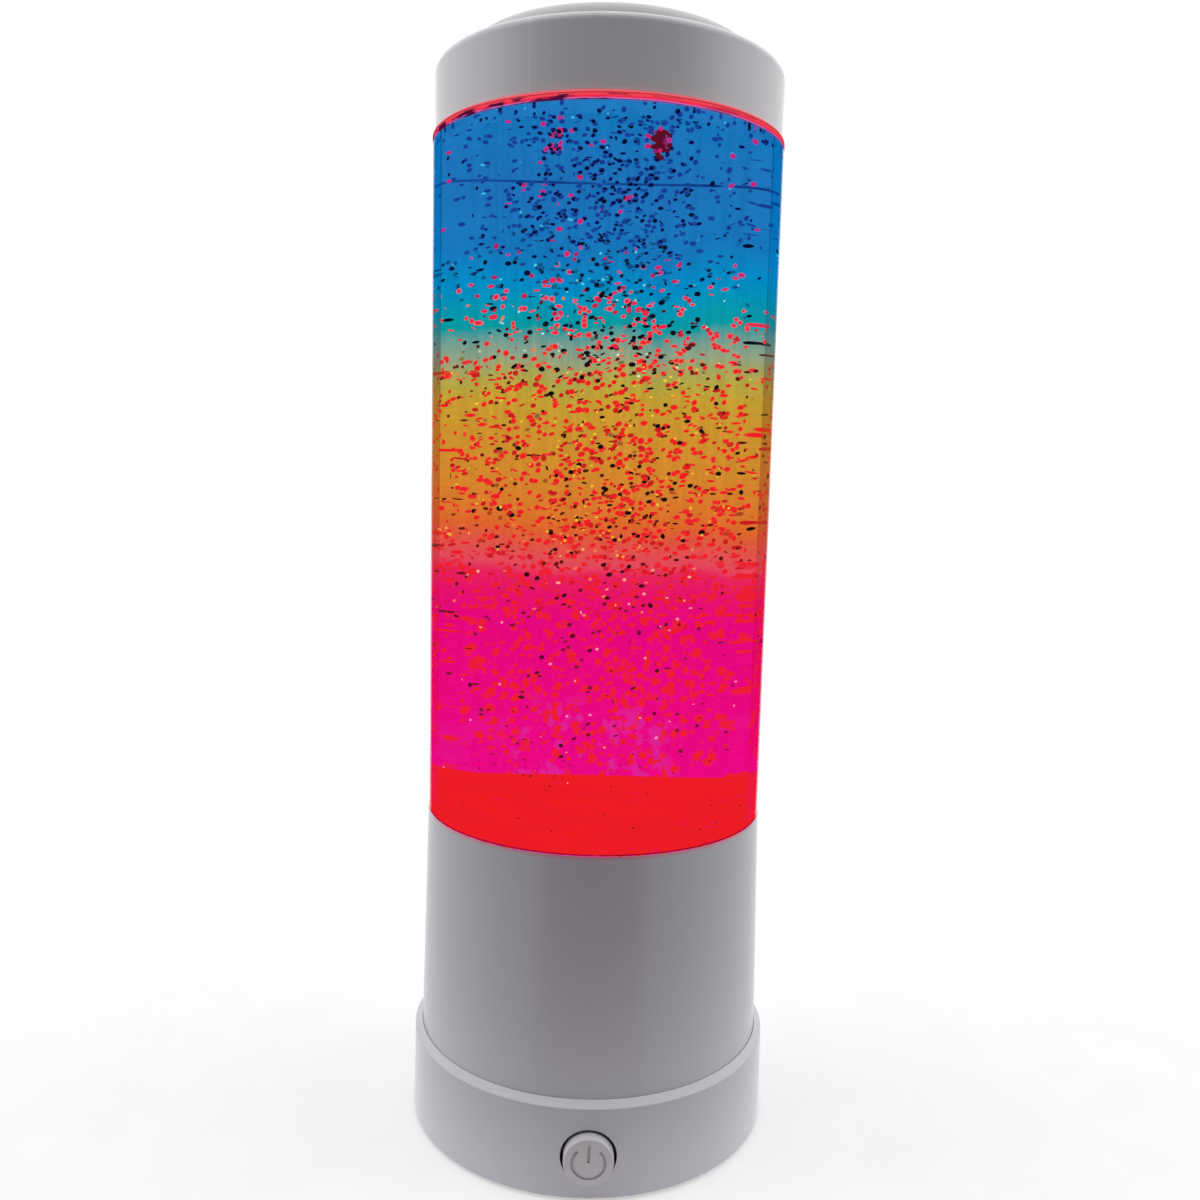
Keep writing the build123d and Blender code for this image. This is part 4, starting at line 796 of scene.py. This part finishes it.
def add_flake(build, centre, tilt, radius, squeeze, face_kind, rim_kind=None):
    """One disc of foil. A rim kind gives it an edge of another kind; on red flakes that edge is a painted
    highlight.
    """
    side = tilt.orthogonal().normalized()
    other = tilt.cross(side)
    lift = tilt * FLAKE_THICKNESS / 2

    def circle(share, level):
        return [
            build.verts.new(
                centre + level * lift
                + side * (radius * share * math.cos(2 * math.pi * turn / FLAKE_SIDES))
                + other * (radius * share * squeeze * math.sin(2 * math.pi * turn / FLAKE_SIDES))
            )
            for turn in range(FLAKE_SIDES)
        ]

    def add_face(corners, kind):
        build.faces.new(corners).material_index = FLAKE_SLOTS.index(kind)

    edge_kind = rim_kind or face_kind
    top, bottom = circle(1, 1), circle(1, -1)
    for level, ring in ((1, top), (-1, bottom)):
        if rim_kind:
            inner = circle(FACE_SHARE, level)
            add_face(inner[::level], face_kind)
            for turn in range(FLAKE_SIDES):
                after = (turn + 1) % FLAKE_SIDES
                add_face([ring[turn], ring[after], inner[after], inner[turn]][::level], rim_kind)
        else:
            add_face(ring[::level], face_kind)
    for turn in range(FLAKE_SIDES):
        after = (turn + 1) % FLAKE_SIDES
        add_face((bottom[turn], bottom[after], top[after], top[turn]), edge_kind)


def pick(draw, table):
    chance = draw.random()
    for kind, share in table:
        chance -= share
        if chance <= 0:
            return kind
    return table[0][0]


def front_tilt(draw, sideways, upwards):
    """A direction that faces the front, more or less."""
    return Vector((draw.gauss(0, sideways), -1, draw.gauss(0, upwards)))


def add_random_flake(build, draw, centre, size, table, tilt=None):
    """A flake of a drawn kind. Most face the front. Black ones gather near the middle."""
    kind = pick(draw, table)
    if kind == "black" and tilt is None and draw.random() < CENTRED_CHANCE:
        centre.x *= CENTRED_SHARE
    if tilt is None:
        chance = draw.random()
        if chance < FACING_CHANCE:
            tilt = front_tilt(draw, 0.35, 0.4)
        elif chance < FACING_CHANCE + LYING_CHANCE:
            tilt = Vector((draw.gauss(0, 0.4), -0.5, draw.choice((-1, 1))))
        else:
            tilt = Vector((1, -0.5, draw.gauss(0, 0.5)))
    radius = size * MM * draw.triangular(0.6, 1.2, 1.0) * KIND_SIZES[kind]
    rim = FLAKE_RIMS.get(kind) if draw.random() < RIM_CHANCE else None
    if kind == "black" and centre.z < BARE_BLACK_TOP:
        rim = None
    add_flake(build, centre, tilt.normalized(), radius, draw.uniform(0.72, 1.0), kind, rim)


def polar(radius, degrees, height):
    """A point by its angle from the front, counted towards the right."""
    turn = math.radians(degrees)
    return Vector((radius * math.sin(turn), -radius * math.cos(turn), height))


def add_loose_flakes(build, draw):
    """Flakes all through the liquid, zone by zone."""
    reach = tank_bore - WALL_GAP
    top = liquid_high.z - TOP_GAP
    for low, density, size, table in FLAKE_ZONES:
        low = max(low * MM, floor_high + FLOOR_GAP)
        crowd_chance = CROWD_CHANCES[0 if top > CROWD_LEVEL else 1]
        for _ in range(int(density * (top - low) / MM)):
            if draw.random() < crowd_chance:
                across = max(-reach, min(reach, draw.gauss(0, CROWD_WIDTH)))
                depth = draw.uniform(-1, 1) * math.sqrt(reach ** 2 - across ** 2)
            else:
                turn, out = draw.uniform(0, 2 * math.pi), reach * math.sqrt(draw.random())
                across, depth = out * math.cos(turn), out * math.sin(turn)
            add_random_flake(build, draw, Vector((across, depth, draw.uniform(low, top))), size, table)
        top = low


def add_wall_flakes(build, draw):
    """Flakes held by the wall near the top."""
    for _ in range(WALL_FLAKES):
        degrees = draw.uniform(0, 360)
        tilt = front_tilt(draw, 0.35, 0.4)
        radius = tank_bore + draw.uniform(0.55, 1.3) * MM
        centre = polar(radius, degrees, liquid_high.z + draw.uniform(-0.6, 2.6) * MM)
        add_random_flake(build, draw, centre, WALL_FLAKE_SIZE, FLAKE_ZONES[0][3], tilt)


def add_side_flakes(build, draw):
    """Flakes that slide down the wall at the back of both sides, where the tank draws them wide."""
    for side in (-1, 1):
        for _ in range(SIDE_FLAKES):
            height = draw.triangular(*SIDE_HEIGHTS)
            table = next(zone[3] for zone in FLAKE_ZONES if zone[0] < height)
            if height < SIDE_RED_TOP:
                table = SIDE_REDS
            radius = tank_bore - draw.uniform(0.4, 1.0) * MM
            centre = polar(radius, 180 + side * draw.uniform(22, 40), height * MM)
            add_random_flake(build, draw, centre, SIDE_FLAKE_SIZE, table, Vector((0, -1, draw.gauss(0, 0.8))))


def add_clumps(build, draw):
    """Clumps that float under the lid."""
    for middle, kinds, count, spread in CLUMPS:
        for _ in range(count):
            across = middle + draw.gauss(0, spread / 1.6)
            depth = CLUMP_DEPTH + draw.gauss(0, spread)
            height = liquid_high.z / MM - abs(draw.gauss(0, CLUMP_HEIGHT)) - CLUMP_TOP_GAP
            tilt = front_tilt(draw, 0.4, 0.4).normalized()
            kind = draw.choice(kinds)
            centre = Vector((across, depth, height)) * MM
            add_flake(build, centre, tilt, draw.uniform(*CLUMP_FLAKE_RADII), 0.9, kind)


def build_glitter():
    draw = random.Random(7)
    build = bmesh.new()
    add_loose_flakes(build, draw)
    add_wall_flakes(build, draw)
    add_side_flakes(build, draw)
    add_clumps(build, draw)
    mesh = bpy.data.meshes.new("glitter")
    build.to_mesh(mesh)
    build.free()
    return add_piece("glitter", mesh, FLAKE_KINDS.values())


glitter = build_glitter()
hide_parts("glitter_flakes")

# Light from inside doesn't speckle the casing
for piece in (glitter, film, nodes["floor_plate"], nodes["tank_base"]):
    piece.visible_diffuse = False


# Studio: a pale floor, a white background and soft light from above, the sides and behind

FLOOR_HALF = 30.0  # metres
NEAR_FLOOR = (0.058, 0.14)  # metres from the axis; the floor throws light back near the lamp only
WEDGE_POINT = -27 * MM  # the mirrored wedge starts here, in front of the axis
WEDGE_EDGE = (0.50, 0.86)  # its half width beside its length
WEDGE_FADE = (0.07, 0.24)  # metres from the axis; it deepens between them
FLOOR_NEAR, FLOOR_FAR = (0.90, 0.90, 0.91, 1), (0.06, 0.06, 0.062, 1)
WEDGE_NEAR, WEDGE_FAR = (0.95, 0.70, 0.82, 1), (0.72, 0.08, 0.32, 1)
MIRRORED_WHITE = (0.92, 0.92, 0.94, 1)


def seen_share(tree, path):
    """1 for rays that show a thing itself, straight or through the clear tank."""
    return math_node(tree, "MAXIMUM", path.outputs["Is Camera Ray"], path.outputs["Is Transmission Ray"])


def floor_material():
    material, tree = new_tree("studio_floor")
    path = put(tree, "ShaderNodeLightPath")
    point = place(tree)
    grain = step(tree, noise(tree, point, 40.0, 4.0), 0.3, 0.7, 0.96, 1.0)
    pale = put(tree, "ShaderNodeCombineColor", {"Red": grain, "Green": grain, "Blue": grain}).outputs[0]
    lit = put(tree, "ShaderNodeBsdfDiffuse", {"Color": pale})
    own = put(tree, "ShaderNodeEmission", {"Color": (1, 1, 1, 1)})
    white = mix_shaders(tree, 0.5, lit, own)
    away = put(tree, "ShaderNodeVectorMath", {0: point}, operation="LENGTH").outputs["Value"]
    bounce = mix_colour(tree, step(tree, away, *NEAR_FLOOR), FLOOR_NEAR, FLOOR_FAR)
    dim = put(tree, "ShaderNodeBsdfDiffuse", {"Color": bounce})
    # Mirrored in the casing, it is white but for a dim, pinkish wedge in front of the lamp: painted shade and
    # painted pink light from the lamp, seen only in reflections
    dark = mix_colour(tree, step(tree, away, *WEDGE_FADE), WEDGE_NEAR, WEDGE_FAR)
    across = math_node(tree, "ABSOLUTE", axis(tree, point, "X"))
    ahead = math_node(tree, "SUBTRACT", WEDGE_POINT, axis(tree, point, "Y"))
    ahead = math_node(tree, "MAXIMUM", ahead, 1 * MM)
    wedge = step(tree, math_node(tree, "DIVIDE", across, ahead), *WEDGE_EDGE)
    mirrored = put(tree, "ShaderNodeEmission", {"Color": mix_colour(tree, wedge, dark, MIRRORED_WHITE)})
    dim = mix_shaders(tree, path.outputs["Is Glossy Ray"], dim, mirrored)
    finish_tree(tree, mix_shaders(tree, seen_share(tree, path), dim, white))
    return material


def make_floor():
    mesh = bpy.data.meshes.new("studio_floor")
    corners = [(-1, -1), (1, -1), (1, 1), (-1, 1)]
    mesh.from_pydata([(FLOOR_HALF * x, FLOOR_HALF * y, 0) for x, y in corners], [], [(0, 1, 2, 3)])
    floor = bpy.data.objects.new("studio_floor", mesh)
    bpy.context.scene.collection.objects.link(floor)
    mesh.materials.append(floor_material())


# Light by direction: two places between which it changes, and its strength at each
SIDE_LIGHT = (-0.80, 0.107, 0.12, 2.12)  # front to back: dim before the lamp, bright from its sides on
BACK_CUT = (0.13, 0.95, 0.0, -1.95)  # what is taken away straight behind the lamp
BACK_CUT_UNSEEN = 0.48  # share of that which reflections don't see
CAP_LIGHT_RISE = (0.05, 0.25)  # upwards, for the light that the cap mirrors
CAP_LIGHT = (-0.35, 0.2, 1.2, 0.0)  # from the front to the back
CEILING = (0.5, 0.95, 1.0, 0.84)  # upwards


def make_world():
    world = bpy.data.worlds.new("studio")
    world.use_nodes = True
    tree = world.node_tree
    tree.nodes.clear()
    direction = put(tree, "ShaderNodeTexCoord").outputs["Generated"]
    backwards, upwards = axis(tree, direction, "Y"), axis(tree, direction, "Z")
    path = put(tree, "ShaderNodeLightPath")
    glossy = path.outputs["Is Glossy Ray"]
    kept = math_node(tree, "SUBTRACT", 1.0, math_node(tree, "MULTIPLY", glossy, BACK_CUT_UNSEEN))
    back_cut = math_node(tree, "MULTIPLY", step(tree, backwards, *BACK_CUT), kept)
    strength = math_node(tree, "ADD", step(tree, backwards, *SIDE_LIGHT), back_cut)
    # A soft light above the camera that the cap mirrors, and a dimmer ceiling
    mirrored = math_node(
        tree, "MULTIPLY", step(tree, upwards, *CAP_LIGHT_RISE), step(tree, backwards, *CAP_LIGHT)
    )
    strength = math_node(tree, "ADD", strength, math_node(tree, "MULTIPLY", mirrored, glossy))
    strength = math_node(tree, "MULTIPLY", strength, step(tree, upwards, *CEILING))
    light = put(tree, "ShaderNodeBackground", {"Color": (1, 1, 1, 1), "Strength": strength})
    white = put(tree, "ShaderNodeBackground", {"Color": (1, 1, 1, 1), "Strength": 1.0})
    output = put(tree, "ShaderNodeOutputWorld")
    mixed = mix_shaders(tree, seen_share(tree, path), light, white)
    tree.links.new(mixed.outputs[0], output.inputs["Surface"])
    bpy.context.scene.world = world


# Camera, fitted to the photograph's outlines: millimetres, degrees, and pixels of the photograph
CAMERA_PLACE = (-4.900, -300.951, 180.014)
CAMERA_PITCH, CAMERA_YAW, CAMERA_ROLL = 6.778, 1.036, 1.349
FOCAL_LENGTH, PHOTO_WIDTH = 1093, 1200
SENSOR_WIDTH = 36.0


def make_camera():
    """The photograph's view: near the lamp, a little above its middle, looking slightly down."""
    pitch, yaw, roll = (math.radians(turn) for turn in (CAMERA_PITCH, CAMERA_YAW, CAMERA_ROLL))
    forward = Vector((math.sin(yaw) * math.cos(pitch), math.cos(yaw) * math.cos(pitch), -math.sin(pitch)))
    level_right = forward.cross(Vector((0, 0, 1))).normalized()
    level_up = level_right.cross(forward)
    right = math.cos(roll) * level_right + math.sin(roll) * level_up
    up = -math.sin(roll) * level_right + math.cos(roll) * level_up
    data = bpy.data.cameras.new("camera")
    data.sensor_width = SENSOR_WIDTH
    data.lens = SENSOR_WIDTH * FOCAL_LENGTH / PHOTO_WIDTH
    data.clip_start, data.clip_end = 0.01, 100.0
    camera = bpy.data.objects.new("camera", data)
    bpy.context.scene.collection.objects.link(camera)
    turn = Matrix((right, up, -forward)).transposed()
    camera.matrix_world = Matrix.Translation(Vector(CAMERA_PLACE) * MM) @ turn.to_4x4()
    bpy.context.scene.camera = camera


make_floor()
make_world()
make_camera()
bpy.context.scene.view_settings.view_transform = "Standard"
